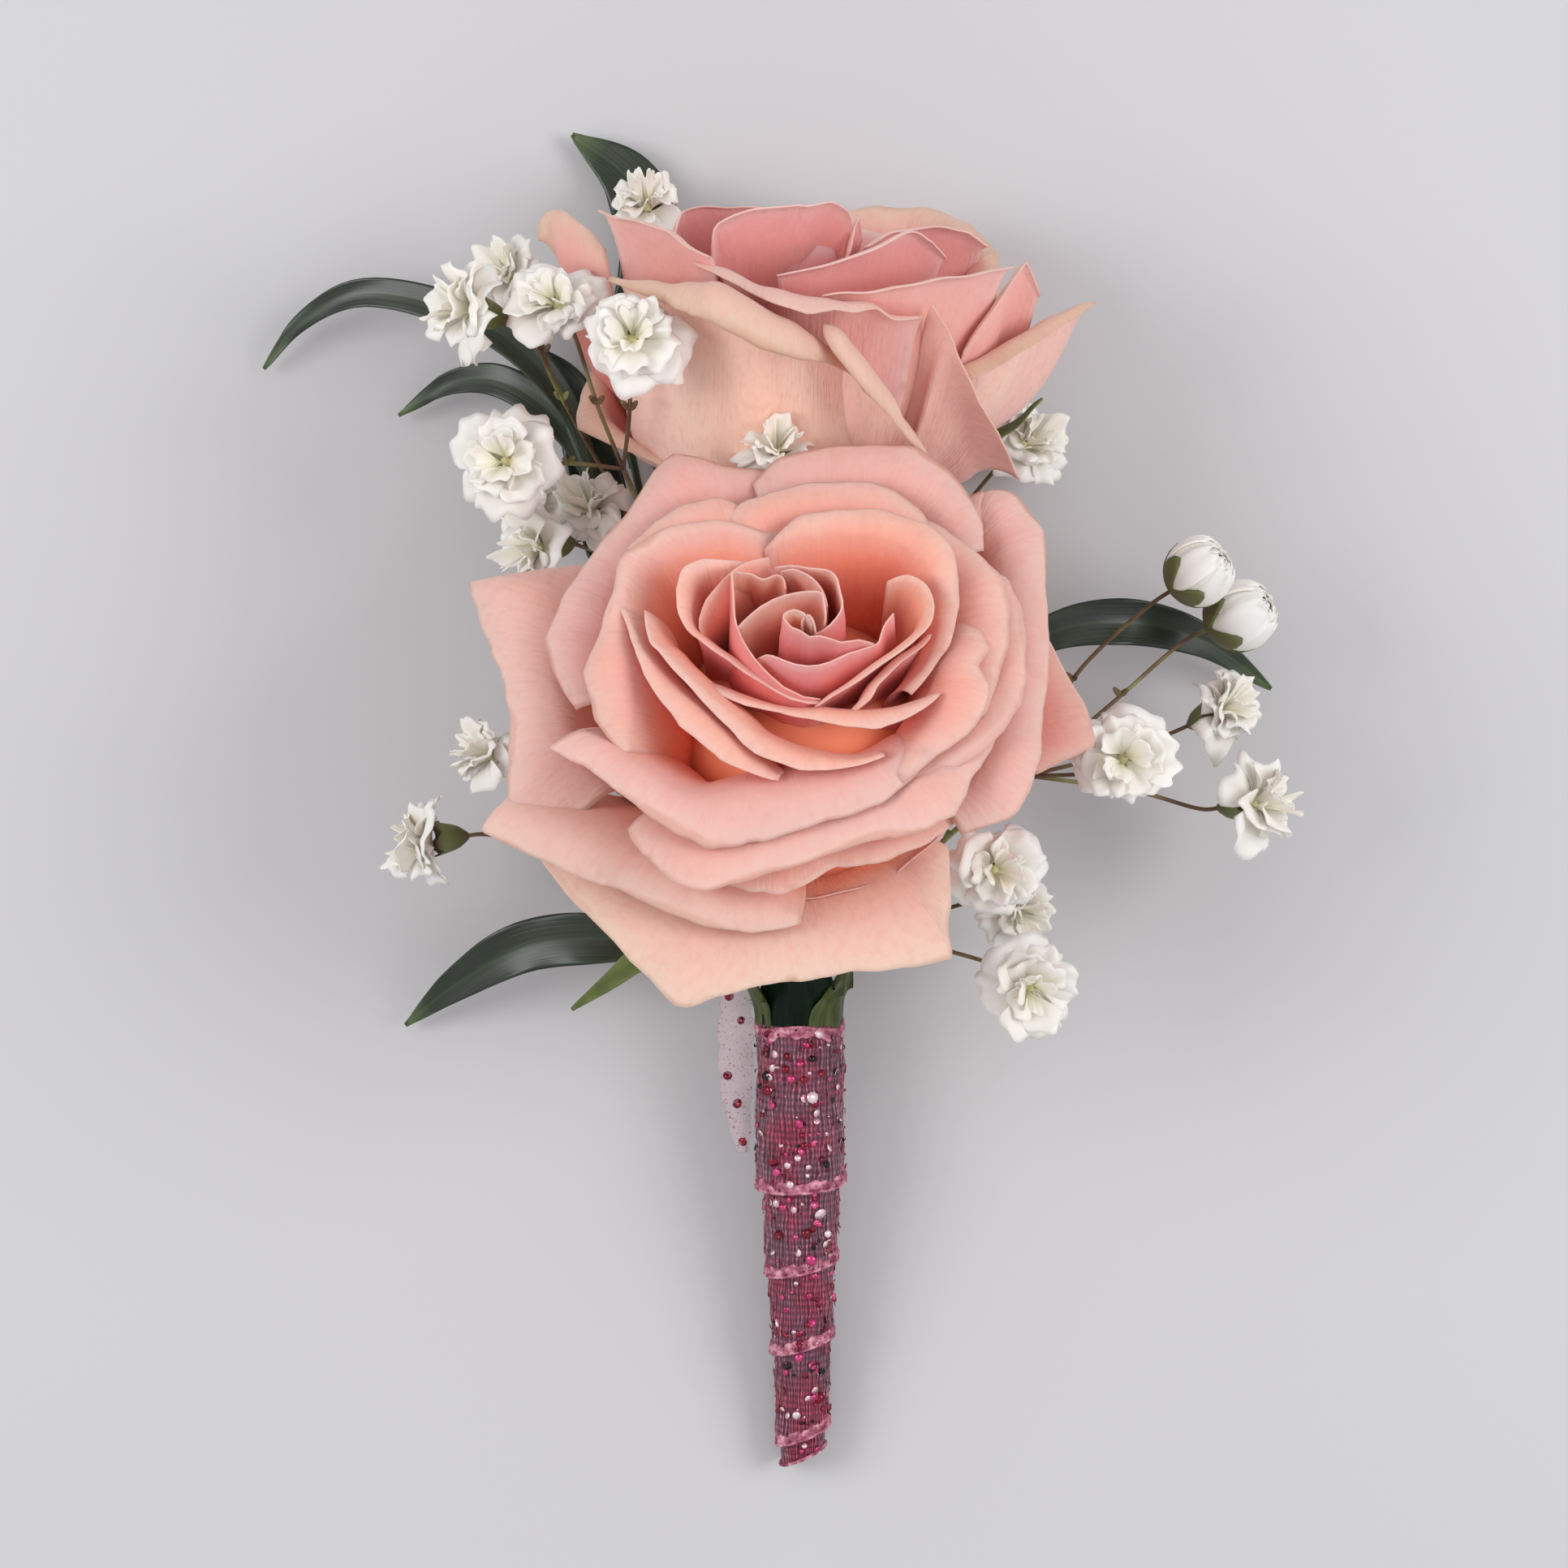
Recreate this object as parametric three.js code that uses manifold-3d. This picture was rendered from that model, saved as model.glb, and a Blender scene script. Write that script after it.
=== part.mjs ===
// Boutonniere: two roses, baby's breath and narrow leaves, bound at the neck and wrapped in ribbon.
// It lies on a surface at z = 0. +Z is up, the stems point along -Y, all sizes are in millimetres.
// Places are given from a point on that surface under the neck, where the ribbon begins. Each piece is
// then shifted, so that the origin ends up under the middle of the whole.
import * as THREE from 'three';
import { mergeVertices } from 'three/addons/utils/BufferGeometryUtils.js';
import Module from 'manifold-3d';

const wasm = await Module();
wasm.setup();

// Driving dimensions
const PETAL_THICKNESS = 0.6;
const LEAF_THICKNESS = 0.6;
const TO_ORIGIN = [2.54, -18.59, 0];

const FRONT_ROSE = { base: [0.2, 17.8, 19.6], tilt: 28 };
const REAR_ROSE = { base: [-1, 47, 12], tilt: 60 };

const part = new THREE.Group();
const finish = (color, roughness) => new THREE.MeshStandardMaterial({ color, roughness, metalness: 0 });
const PETAL_PINK = finish(0xeda891, 0.6);
const WHITE = finish(0xf3f1ea, 0.7);
const STALK_BROWN = finish(0x5a4a24, 0.7);
const STEM_GREEN = finish(0x3f5a26, 0.6);
const LEAF_GREEN = finish(0x142818, 0.35);
const RIBBON_PINK = finish(0xa04a6a, 0.5);
const TULLE = finish(0xd9a9bd, 0.6);

const degrees = THREE.MathUtils.degToRad;
const vector = (list) => new THREE.Vector3(...list);

// Turns a closed three.js geometry into a solid that can be joined and cut
function solidFrom(geometry) {
  const plain = geometry.clone();
  plain.deleteAttribute('normal');
  plain.deleteAttribute('uv');
  const merged = mergeVertices(plain, 1e-5);
  return new wasm.Manifold(new wasm.Mesh({
    numProp: 3,
    vertProperties: new Float32Array(merged.attributes.position.array),
    triVerts: new Uint32Array(merged.index.array),
  }));
}

// Keeps the largest body: loose scraps are dropped and sealed hollows are filled
function largestBody(solid) {
  const bodies = solid.decompose();
  return bodies.reduce((best, next) => (next.volume() > best.volume() ? next : best));
}

function addPiece(name, solid, material) {
  const { vertProperties, triVerts } = largestBody(solid).getMesh();
  const geometry = new THREE.BufferGeometry();
  geometry.setAttribute('position', new THREE.BufferAttribute(new Float32Array(vertProperties), 3));
  geometry.setIndex(new THREE.BufferAttribute(new Uint32Array(triVerts), 1));
  geometry.translate(...TO_ORIGIN);
  const mesh = new THREE.Mesh(geometry, material);
  mesh.name = name;
  part.add(mesh);
  return mesh;
}

const join = (solids) => wasm.Manifold.union(solids);

// A thin blade from a grid of points: points[row][column], thickened evenly to both sides
function bladeFrom(points, thickness) {
  const rows = points.length;
  const columns = points[0].length;
  const normals = points.map((row, i) => row.map((point, j) => {
    const along = points[Math.min(i + 1, rows - 1)][j].clone().sub(points[Math.max(i - 1, 0)][j]);
    const across = row[Math.min(j + 1, columns - 1)].clone().sub(row[Math.max(j - 1, 0)]);
    return across.cross(along).normalize();
  }));
  const positions = [];
  for (const side of [0.5, -0.5]) {
    points.forEach((row, i) => row.forEach((point, j) => {
      positions.push(...point.clone().addScaledVector(normals[i][j], side * thickness).toArray());
    }));
  }
  const front = (i, j) => i * columns + j;
  const back = (i, j) => rows * columns + i * columns + j;
  const index = [];
  const quad = (a, b, c, d) => index.push(a, b, c, a, c, d);
  for (let i = 0; i < rows - 1; i++) {
    for (let j = 0; j < columns - 1; j++) {
      quad(front(i, j), front(i, j + 1), front(i + 1, j + 1), front(i + 1, j));
      index.push(back(i, j), back(i + 1, j + 1), back(i, j + 1), back(i, j), back(i + 1, j),
        back(i + 1, j + 1));
    }
  }
  for (let j = 0; j < columns - 1; j++) {
    quad(front(0, j + 1), front(0, j), back(0, j), back(0, j + 1));
    quad(front(rows - 1, j), front(rows - 1, j + 1), back(rows - 1, j + 1), back(rows - 1, j));
  }
  for (let i = 0; i < rows - 1; i++) {
    quad(front(i, 0), front(i + 1, 0), back(i + 1, 0), back(i, 0));
    quad(front(i + 1, columns - 1), front(i, columns - 1), back(i, columns - 1), back(i + 1, columns - 1));
  }
  const geometry = new THREE.BufferGeometry();
  geometry.setAttribute('position', new THREE.Float32BufferAttribute(positions, 3));
  geometry.setIndex(index);
  return geometry;
}

// Smooth curve through equally spaced values
function along(values, t) {
  const last = values.length - 1;
  const place = Math.min(t * last, last - 1e-6);
  const i = Math.floor(place);
  const f = place - i;
  const p = (k) => values[Math.max(0, Math.min(last, k))];
  const [a, b, c, d] = [p(i - 1), p(i), p(i + 1), p(i + 2)];
  const bend = (2 * a - 5 * b + 4 * c - d) * f * f;
  return 0.5 * (2 * b + (c - a) * f + bend + (3 * b - a - 3 * c + d) * f * f * f);
}

function straight(values, t) {
  const last = values.length - 1;
  const place = Math.min(t * last, last - 1e-6);
  const i = Math.floor(place);
  return values[i] + (values[i + 1] - values[i]) * (place - i);
}

// A petal is set by its crest, the line where it rolls back: each station there is
// [azimuth in degrees, radius, height, length of the rolled lip].
// lean is how steeply the petal still rises at the crest, roll how far the lip turns over.
const BASE_RADIUS = 2.6;
const BASE_SPREAD = 0.55;
const CREST_PULL = 0.3;
const RADIAL_SHARE = 0.45;
const CREST_STEP = 0.04;
const LIP_STEPS = 6;
function petalPoint(petal, across, up) {
  const { crest, lean, roll, belly, low } = petal;
  const column = (k) => crest.map((station) => station[k]);
  const [azimuths, radii, heights, lips] = [0, 1, 2, 3].map(column);
  const crestAt = (t) => {
    const azimuth = degrees(along(azimuths, t));
    const radius = along(radii, t);
    return new THREE.Vector3(radius * Math.cos(azimuth), radius * Math.sin(azimuth), along(heights, t));
  };
  const top = crestAt(across);
  const before = crestAt(Math.max(0, across - CREST_STEP));
  const after = crestAt(Math.min(1, across + CREST_STEP));
  const radial = new THREE.Vector3(top.x, top.y, 0).normalize();
  const square = new THREE.Vector3(after.y - before.y, before.x - after.x, 0).normalize();
  const outward = radial.clone().multiplyScalar(RADIAL_SHARE)
    .addScaledVector(square, 1 - RADIAL_SHARE).normalize();
  const rise = new THREE.Vector3(0, 0, 1);
  const leanAngle = degrees(lean);
  const toCrest = outward.clone().multiplyScalar(Math.cos(leanAngle))
    .addScaledVector(rise, Math.sin(leanAngle));
  if (up <= 1) {
    const middle = (azimuths[0] + azimuths[azimuths.length - 1]) / 2;
    const azimuth = along(azimuths, across);
    const baseAngle = degrees(middle + (azimuth - middle) * BASE_SPREAD);
    const root = new THREE.Vector3(Math.cos(baseAngle), Math.sin(baseAngle), 0).multiplyScalar(BASE_RADIUS);
    const bellyRadius = Math.hypot(top.x, top.y) * belly;
    const second = radial.clone().multiplyScalar(bellyRadius);
    second.z = top.z * low;
    const third = top.clone().addScaledVector(toCrest, -CREST_PULL * top.z);
    return new THREE.CubicBezierCurve3(root, second, third, top).getPoint(up);
  }
  const lip = straight(lips, across) * (up - 1);
  const turn = degrees(roll) * (up - 1);
  const point = top.clone();
  for (let k = 0; k < LIP_STEPS; k++) {
    const angle = leanAngle - (turn * (k + 0.5)) / LIP_STEPS;
    point.addScaledVector(outward, (Math.cos(angle) * lip) / LIP_STEPS);
    point.z += (Math.sin(angle) * lip) / LIP_STEPS;
  }
  return point;
}

// Rows run up the petal: from inside the core, to the crest, then over the lip.
// Its columns fall on the stations, so every drawn-out corner stays sharp.
function petalSolid(petal) {
  const columns = petal.crest.length - 1;
  const rows = petal.rows.map((up) => Array.from(
    { length: columns + 1 },
    (_, j) => petalPoint(petal, j / columns, up),
  ));
  return solidFrom(bladeFrom(rows, PETAL_THICKNESS));
}

const OUTER = { lean: 15, roll: 75, belly: 0.95, low: -0.05, rows: [0.2, 0.62, 1, 1.85] };
const MIDDLE = { lean: 35, roll: 95, belly: 1.0, low: 0.1, rows: [0.6, 1, 1.85] };
const INNER = { lean: 75, roll: 45, belly: 1.1, low: 0.2, rows: [0.66, 1, 2] };
const HEART = { lean: 92, roll: 30, belly: 1.3, low: 0.3, rows: [0.72, 1, 1.6] };

// Front rose, seen from above: eight outer petals, seven in the middle, five inner ones, four in the heart
const FRONT_PETALS = [
  {
    ...OUTER,
    crest: [
      [135, 20, 15, 2], [153, 22.5, 17, 9.8], [168, 20.3, 17, 4.5], [183, 18.5, 17, 4.2],
      [200, 17.2, 15, 3],
    ],
  },
  {
    ...OUTER,
    crest: [
      [183, 20.5, 12.5, 2], [196, 21.2, 14, 5.8], [212, 18.6, 14.5, 3.4], [238, 16.2, 14.5, 3.2],
      [258, 15, 13.5, 2.4], [270, 14, 12.5, 1.5],
    ],
  },
  {
    ...OUTER, roll: 50,
    crest: [
      [203, 18.5, 9, 3], [226, 17.5, 10.5, 4.5], [244, 17, 11, 8.8], [266, 15.2, 10.5, 5],
      [286, 13.8, 10.5, 6], [304, 12.8, 10, 11], [322, 11.3, 9.5, 2.6],
    ],
  },
  {
    ...OUTER, lean: 25,
    crest: [
      [250, 13.4, 14, 1.3], [286, 12, 15, 1.8], [318, 13, 16, 2.4], [338, 16.6, 16.5, 3],
      [356, 17.8, 16.5, 2.2], [372, 18.6, 16, 1.5],
    ],
  },
  {
    ...OUTER,
    crest: [
      [-12, 17, 7, 2], [-4, 18.5, 8, 3], [3, 19.4, 8.6, 5], [14, 20, 8.6, 3.4], [28, 19, 8.5, 2.5],
    ],
  },
  {
    ...OUTER, lean: 30,
    crest: [
      [4, 17.8, 19, 2], [24, 19, 20, 3.4], [39, 20.2, 20.8, 5], [50, 20.8, 20.8, 5.8],
      [62, 20, 19, 3],
    ],
  },
  {
    ...OUTER, lean: 30,
    crest: [
      [92, 18.4, 20, 1.6], [103, 19.6, 21, 2.6], [114, 20.5, 21.5, 4.6], [131, 18.6, 21, 2.6],
      [150, 18.2, 21, 3], [164, 18, 20, 3.6], [184, 16.6, 18.5, 2],
    ],
  },
  {
    ...OUTER, lean: 35,
    crest: [
      [40, 17.6, 22, 1.5], [54, 20.2, 23, 2.2], [68, 21, 23.6, 2.4], [82, 20.2, 23, 2.2],
      [93, 18.8, 21, 1.5],
    ],
  },
  {
    ...MIDDLE,
    crest: [
      [100, 11.2, 24.5, 1], [118, 13, 25, 1.8], [137, 15.2, 24.6, 2.6], [156, 14.4, 24.4, 2.4],
      [174, 14.9, 24, 2.6], [192, 14.6, 22.5, 2.2], [211, 13.8, 20.5, 1.5],
    ],
  },
  {
    ...MIDDLE,
    crest: [
      [34, 15, 23, 1.2], [54, 15.4, 24.6, 1.8], [74, 15.5, 25.2, 2], [94, 15, 25, 1.8],
      [114, 14, 24, 1.2],
    ],
  },
  {
    ...MIDDLE, lean: 50,
    crest: [
      [-24, 8, 21, 0.8], [-4, 9.8, 23.4, 1], [16, 11.9, 25.2, 1.5], [38, 13.2, 26.2, 1.9],
      [64, 13, 26.5, 2], [90, 11, 26.3, 1.6], [112, 8.8, 25.5, 0.8],
    ],
  },
  {
    ...MIDDLE,
    crest: [
      [258, 10, 20.5, 1.2], [281, 9, 21.6, 1.6], [304, 9.2, 22.2, 1.8], [325, 10.7, 22.6, 2.2],
      [343, 12.7, 23.4, 2.4], [364, 13, 23.6, 2], [384, 12, 22.5, 1],
    ],
  },
  {
    ...MIDDLE,
    crest: [
      [296, 10.2, 19.5, 1.6], [316, 11.6, 20.4, 2.2], [336, 13.6, 21, 2.2], [356, 15.3, 21.5, 2],
      [388, 15.2, 21.5, 1.2],
    ],
  },
  {
    ...MIDDLE,
    crest: [
      [182, 17, 20.5, 1.5], [196, 16.2, 21.6, 4.4], [212, 13.4, 22, 3.8], [238, 11.4, 22, 4.6],
      [262, 9.8, 21.5, 3.4], [290, 8.6, 21, 2.6], [318, 9.4, 20.5, 3.2],
    ],
  },
  {
    ...MIDDLE,
    crest: [
      [212, 14.2, 17.5, 2], [227, 13.8, 18.4, 3.6], [242, 12.6, 18.6, 5], [264, 10.5, 18.4, 3.4],
      [292, 9.8, 18.4, 3.2], [318, 11.6, 18.6, 3.2], [336, 13.6, 18, 2.5],
    ],
  },
  {
    ...MIDDLE,
    crest: [
      [306, 11.6, 17.5, 1.6], [326, 14.2, 18.2, 2.2], [346, 16.2, 18.9, 2.2], [368, 17.1, 19.3, 1.7],
      [396, 17.2, 19, 1.2],
    ],
  },
  {
    ...INNER,
    crest: [
      [160, 13, 24.6, 0.8], [176, 12.4, 25.4, 1.3], [196, 10.7, 25.6, 1.5], [230, 8.9, 24.8, 1.5],
      [264, 9.2, 22.2, 0.8],
    ],
  },
  {
    ...INNER,
    crest: [
      [164, 11.2, 25.4, 0.8], [184, 10, 26.2, 1], [208, 8.4, 26, 1.2], [244, 8, 25, 1.2],
      [280, 8.8, 23.4, 1],
    ],
  },
  {
    ...INNER,
    crest: [
      [112, 7.6, 27, 0.6], [130, 9.4, 27.6, 0.8], [150, 10.6, 27.8, 1], [172, 8.8, 27.8, 1],
      [200, 5.8, 27.4, 1], [236, 4.6, 26.6, 1], [278, 4.8, 25.2, 0.6],
    ],
  },
  {
    ...INNER,
    crest: [
      [198, 8, 25.6, 0.8], [224, 5.4, 25.8, 1.2], [258, 5, 25.6, 1.6], [292, 5.2, 25.2, 1.6],
      [322, 7.2, 24.8, 1.4], [340, 10, 24.2, 0.8],
    ],
  },
  {
    ...INNER,
    crest: [
      [286, 5, 24.6, 0.6], [330, 5.6, 25.8, 1], [362, 7.8, 26.4, 1.2], [380, 9.4, 26.6, 1.2],
      [396, 9, 26.2, 1],
    ],
  },
  {
    ...HEART,
    crest: [
      [106, 6.6, 28, 0.5], [140, 6.6, 29.4, 0.6], [190, 6, 28.6, 0.7], [226, 4.2, 27.6, 0.6],
    ],
  },
  {
    ...HEART,
    crest: [
      [214, 4, 27.6, 0.6], [256, 3.7, 27.8, 0.8], [290, 3.6, 27.6, 0.8], [342, 5.2, 26.6, 0.6],
    ],
  },
  {
    ...HEART,
    crest: [
      [-30, 2.4, 28, 0.5], [15, 5, 29.2, 0.6], [75, 4.6, 30, 0.6], [125, 4.8, 29.6, 0.6],
      [150, 5, 28.6, 0.5],
    ],
  },
  {
    ...HEART,
    crest: [
      [40, 1.8, 30.4, 0.4], [110, 2.4, 30.6, 0.4], [170, 2.4, 30.4, 0.4], [250, 1.3, 30, 0.4],
      [330, 1, 29.6, 0.4],
    ],
  },
];

// Rear rose, seen from the side: the petals near az 270 face up, those near az 90 lie on the surface
const REAR_PETALS = [
  {
    ...OUTER, lean: 35, roll: 110,
    crest: [
      [186, 14, 16.8, 1.6], [204, 13.6, 17.6, 2.8], [226, 13.2, 18, 3.2], [252, 13.4, 18, 3.2],
      [280, 13.6, 17.2, 3], [296, 14.6, 13.6, 2.4], [308, 16.4, 8.4, 1.8],
    ],
  },
  {
    ...OUTER, lean: 50, roll: 90,
    crest: [
      [286, 11.5, 17.5, 1], [302, 13.4, 18.2, 1.8], [316, 16, 17.6, 3.4], [326, 18.4, 13, 4.2],
      [334, 19.8, 8, 4.6], [341, 20, 4.5, 3.6],
    ],
  },
  {
    ...OUTER, lean: 30, roll: 70,
    crest: [
      [322, 15.4, 16.4, 1.4], [336, 17.6, 16, 2.6], [350, 20.4, 15.4, 3.4], [361, 22.4, 14.8, 4.2],
      [376, 19.5, 13, 2.4],
    ],
  },
  {
    ...MIDDLE, lean: 60, roll: 60,
    crest: [
      [312, 14.4, 18, 0.8], [330, 17, 18.6, 1.2], [346, 18.8, 19, 1.5], [360, 18.4, 18.8, 1.5],
      [376, 16.6, 17, 1],
    ],
  },
  {
    ...OUTER, lean: 25,
    crest: [
      [174, 15, 8, 1.6], [185, 15.6, 6.8, 2], [195, 15.6, 5.6, 3], [207, 13.2, 4.2, 1.6],
      [220, 11.6, 3.2, 1],
    ],
  },
  {
    ...OUTER, lean: 35,
    crest: [
      [136, 16.6, 15.6, 1.6], [145, 18.4, 15.8, 2.4], [153, 20, 16, 3.4], [166, 18.6, 15.6, 2.4],
      [184, 16.4, 14, 2],
    ],
  },
  {
    ...MIDDLE, lean: 55,
    crest: [
      [192, 12.6, 18.6, 1], [204, 10.6, 19.2, 1.4], [224, 8.4, 19.8, 1.8], [252, 8.6, 19.5, 2.2],
      [272, 10.4, 19.2, 2.4], [288, 11.4, 18.8, 1.4],
    ],
  },
  {
    ...MIDDLE, lean: 60,
    crest: [
      [272, 9, 19.6, 1], [290, 9.6, 19.8, 1.6], [308, 10.8, 19.8, 1.8], [328, 13, 19.4, 1.4],
      [346, 16.8, 18.8, 1.2],
    ],
  },
  {
    ...MIDDLE, lean: 60,
    crest: [
      [148, 15.2, 18.6, 1], [162, 14.8, 19.6, 2], [176, 11, 20.2, 1.4], [194, 8, 20.6, 1.4],
      [216, 7, 20.4, 0.8],
    ],
  },
  {
    ...OUTER, lean: 35,
    crest: [
      [64, 15, 13, 1.4], [79, 16, 13.8, 2], [91, 16.6, 14.2, 4], [103, 16.2, 13.8, 2.4],
      [118, 15, 13, 1.6],
    ],
  },
  {
    ...OUTER, lean: 35,
    crest: [
      [4, 16.4, 15.4, 1.4], [20, 17, 16, 1.8], [36, 17.2, 16.4, 2.2], [50, 17, 16.5, 2.2],
      [62, 15, 16.6, 1.6], [76, 13.4, 16, 1],
    ],
  },
  {
    ...MIDDLE, lean: 55,
    crest: [
      [112, 11.4, 18.4, 1], [130, 12.2, 19, 1.4], [148, 12.4, 19, 1.4], [168, 12, 18.4, 1],
    ],
  },
  {
    ...MIDDLE, lean: 60,
    crest: [
      [302, 10.8, 20, 0.8], [318, 12, 20.4, 1.2], [336, 13.8, 20.8, 1.4], [352, 15, 20.6, 1.4],
      [372, 14.6, 19.5, 1],
    ],
  },
  {
    ...OUTER, lean: 20, roll: 50,
    crest: [
      [36, 16.4, 8, 2], [48, 18, 8.2, 3], [60, 18.7, 8.2, 3.8], [72, 17.2, 8.2, 3], [84, 15.8, 8, 2],
    ],
  },
  {
    ...OUTER, lean: 20, roll: 50,
    crest: [
      [90, 15.6, 8, 2], [100, 16.6, 8.2, 3], [109, 17.4, 8.2, 3.4], [118, 16.4, 8.2, 2],
      [128, 15.2, 8.4, 1.2],
    ],
  },
  {
    ...INNER,
    crest: [
      [254, 8.2, 20.8, 0.6], [276, 8.4, 21.4, 0.8], [300, 8.6, 21.8, 0.8], [324, 8.8, 22.2, 1],
      [344, 9.8, 22, 0.8],
    ],
  },
  {
    ...INNER,
    crest: [
      [20, 9.6, 20.6, 0.6], [50, 9.8, 21.4, 0.8], [85, 9, 21.8, 0.8], [125, 8.6, 21.4, 0.6],
    ],
  },
  {
    ...HEART,
    crest: [
      [188, 6.6, 22, 0.5], [222, 5.4, 23.4, 0.7], [256, 4.8, 24.2, 0.8], [292, 4.8, 24.2, 0.8],
      [330, 5.8, 22.6, 0.6],
    ],
  },
  {
    ...HEART,
    crest: [
      [330, 4.6, 22.6, 0.5], [380, 4.4, 23.6, 0.6], [440, 4, 23.8, 0.6], [520, 4.6, 22.8, 0.5],
    ],
  },
  {
    ...HEART,
    crest: [
      [200, 2, 24, 0.4], [290, 2.2, 24.4, 0.4], [380, 1.8, 24.2, 0.4], [470, 1.2, 23.8, 0.4],
    ],
  },
];

// The closed core that the petals stand out of, turned on the rose's own axis
function turned(profile, sides) {
  const points = profile.map(([radius, height]) => new THREE.Vector2(radius, height));
  const geometry = new THREE.LatheGeometry(points, sides);
  geometry.rotateX(Math.PI / 2);
  return solidFrom(geometry);
}

// Places a solid made round the rose's axis at the rose's own base and tilt
function placeOnRose(solid, rose) {
  const matrix = new THREE.Matrix4().makeTranslation(...rose.base)
    .multiply(new THREE.Matrix4().makeRotationX(-degrees(rose.tilt)));
  return solid.transform(matrix.elements);
}

function onRose([x, y, z], rose) {
  const point = new THREE.Vector3(x, y, z).applyAxisAngle(new THREE.Vector3(1, 0, 0), -degrees(rose.tilt));
  return point.add(vector(rose.base)).toArray();
}

const SURFACE = 0;
const FRONT_CORE = [
  [0, -0.5], [2.8, -0.3], [9.5, 0.4], [13.2, 3], [14.4, 8], [13, 13], [10.5, 17], [7, 20], [4, 22.5],
    [2.4, 25], [0, 27],
];
const REAR_CORE = [[0, -0.5], [2.8, -0.3], [8.6, 0.4], [11.4, 3], [12, 8], [11, 12], [8, 15.5], [4, 18.5],
  [0, 21]];
const frontPetals = placeOnRose(join([turned(FRONT_CORE, 12), ...FRONT_PETALS.map(petalSolid)]), FRONT_ROSE);
const rearPetals = placeOnRose(join([turned(REAR_CORE, 12), ...REAR_PETALS.map(petalSolid)]), REAR_ROSE)
  .trimByPlane([0, 0, 1], SURFACE);
addPiece('rose_front_petals', frontPetals, PETAL_PINK);
addPiece('rose_rear_petals', rearPetals, PETAL_PINK);

// A round stalk through a list of points
function stalk(points, radius, sides, steps) {
  const outline = new THREE.Shape(Array.from({ length: sides }, (_, k) => {
    const angle = (k / sides) * 2 * Math.PI;
    return new THREE.Vector2(radius * Math.cos(angle), radius * Math.sin(angle));
  }));
  const path = new THREE.CatmullRomCurve3(points.map(vector), false, 'centripetal');
  return solidFrom(new THREE.ExtrudeGeometry(outline, { steps, bevelEnabled: false, extrudePath: path }));
}

// A leaf or sepal along a spine: its halves rise from the midrib by the fold angle
const TIP_WIDTH = 0.35;
function leafBlade(spine, halfWidth, { rows = 6, fold = 12, widest = 0.4, facing = [0, 0, 1] } = {}) {
  const path = new THREE.CatmullRomCurve3(spine.map(vector), false, 'centripetal');
  const grid = Array.from({ length: rows + 1 }, (_, i) => {
    const t = i / rows;
    const middle = path.getPoint(t);
    const tangent = path.getTangent(t);
    const side = new THREE.Vector3().crossVectors(tangent, vector(facing)).normalize();
    const normal = new THREE.Vector3().crossVectors(side, tangent);
    const swell = t < widest
      ? Math.sin((Math.PI / 2) * (t / widest))
      : Math.cos((Math.PI / 2) * ((t - widest) / (1 - widest)));
    const width = TIP_WIDTH + (halfWidth - TIP_WIDTH) * swell ** 0.9;
    const edge = (sign) => middle.clone()
      .addScaledVector(side, sign * width * Math.cos(degrees(fold)))
      .addScaledVector(normal, width * Math.sin(degrees(fold)));
    return [edge(-1), middle, edge(1)];
  });
  return solidFrom(bladeFrom(grid, LEAF_THICKNESS));
}

// Ribbon wrap: its axis runs from the neck down to the surface at the cut end of the stems
const WRAP_TOP = [0, 0, 8];
const WRAP_END = [0.35, -38.5, 1.78];
const wrapLength = vector(WRAP_END).distanceTo(vector(WRAP_TOP));
const wrapAxis = vector(WRAP_END).sub(vector(WRAP_TOP)).normalize();
const wrapSide = new THREE.Vector3(1, 0, 0);
const wrapUp = new THREE.Vector3().crossVectors(wrapSide, wrapAxis).normalize().negate();
const WRAP_OUTSIDE = [
  [3.7, 0], [3.72, 6], [3.85, 14.2], [3.2, 14.5], [3.0, 21.4], [2.7, 21.8], [2.6, 28.2], [2.3, 28.6],
    [2.2, 36.2], [1.9, 36.6],
];
const WRAP_BORE = [[3.1, 13.4], [2.5, 13.8], [2.4, 20.8], [2.1, 21.2], [2.0, 27.6], [1.7, 28], [1.6, 35.6],
  [1.3, 36]];

// A point in the wrap: aside and above its axis, and down from its top edge
function inWrap(aside, above, down) {
  return vector(WRAP_TOP).addScaledVector(wrapAxis, down)
    .addScaledVector(wrapSide, aside).addScaledVector(wrapUp, above).toArray();
}

// The bound stretch of a stem: from its cut end in the wrap to just above the neck
function boundStem(aside, above, depth) {
  return [depth, depth / 2, 1, -1.6].map((down) => inWrap(aside, above, down));
}

function wrapSolid() {
  const last = WRAP_OUTSIDE[WRAP_OUTSIDE.length - 1][0];
  const bore = WRAP_BORE[WRAP_BORE.length - 1][0];
  const outline = [
    ...WRAP_OUTSIDE, [last, wrapLength], [bore, wrapLength], ...[...WRAP_BORE].reverse(),
      [WRAP_BORE[0][0], 0], WRAP_OUTSIDE[0],
  ];
  const solid = turned(outline, 12);
  const frame = new THREE.Matrix4().makeBasis(wrapSide, wrapUp, wrapAxis).setPosition(...WRAP_TOP);
  return solid.transform(frame.elements).trimByPlane([0, 0, 1], SURFACE);
}

addPiece('ribbon_wrap', wrapSolid(), RIBBON_PINK);

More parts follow.
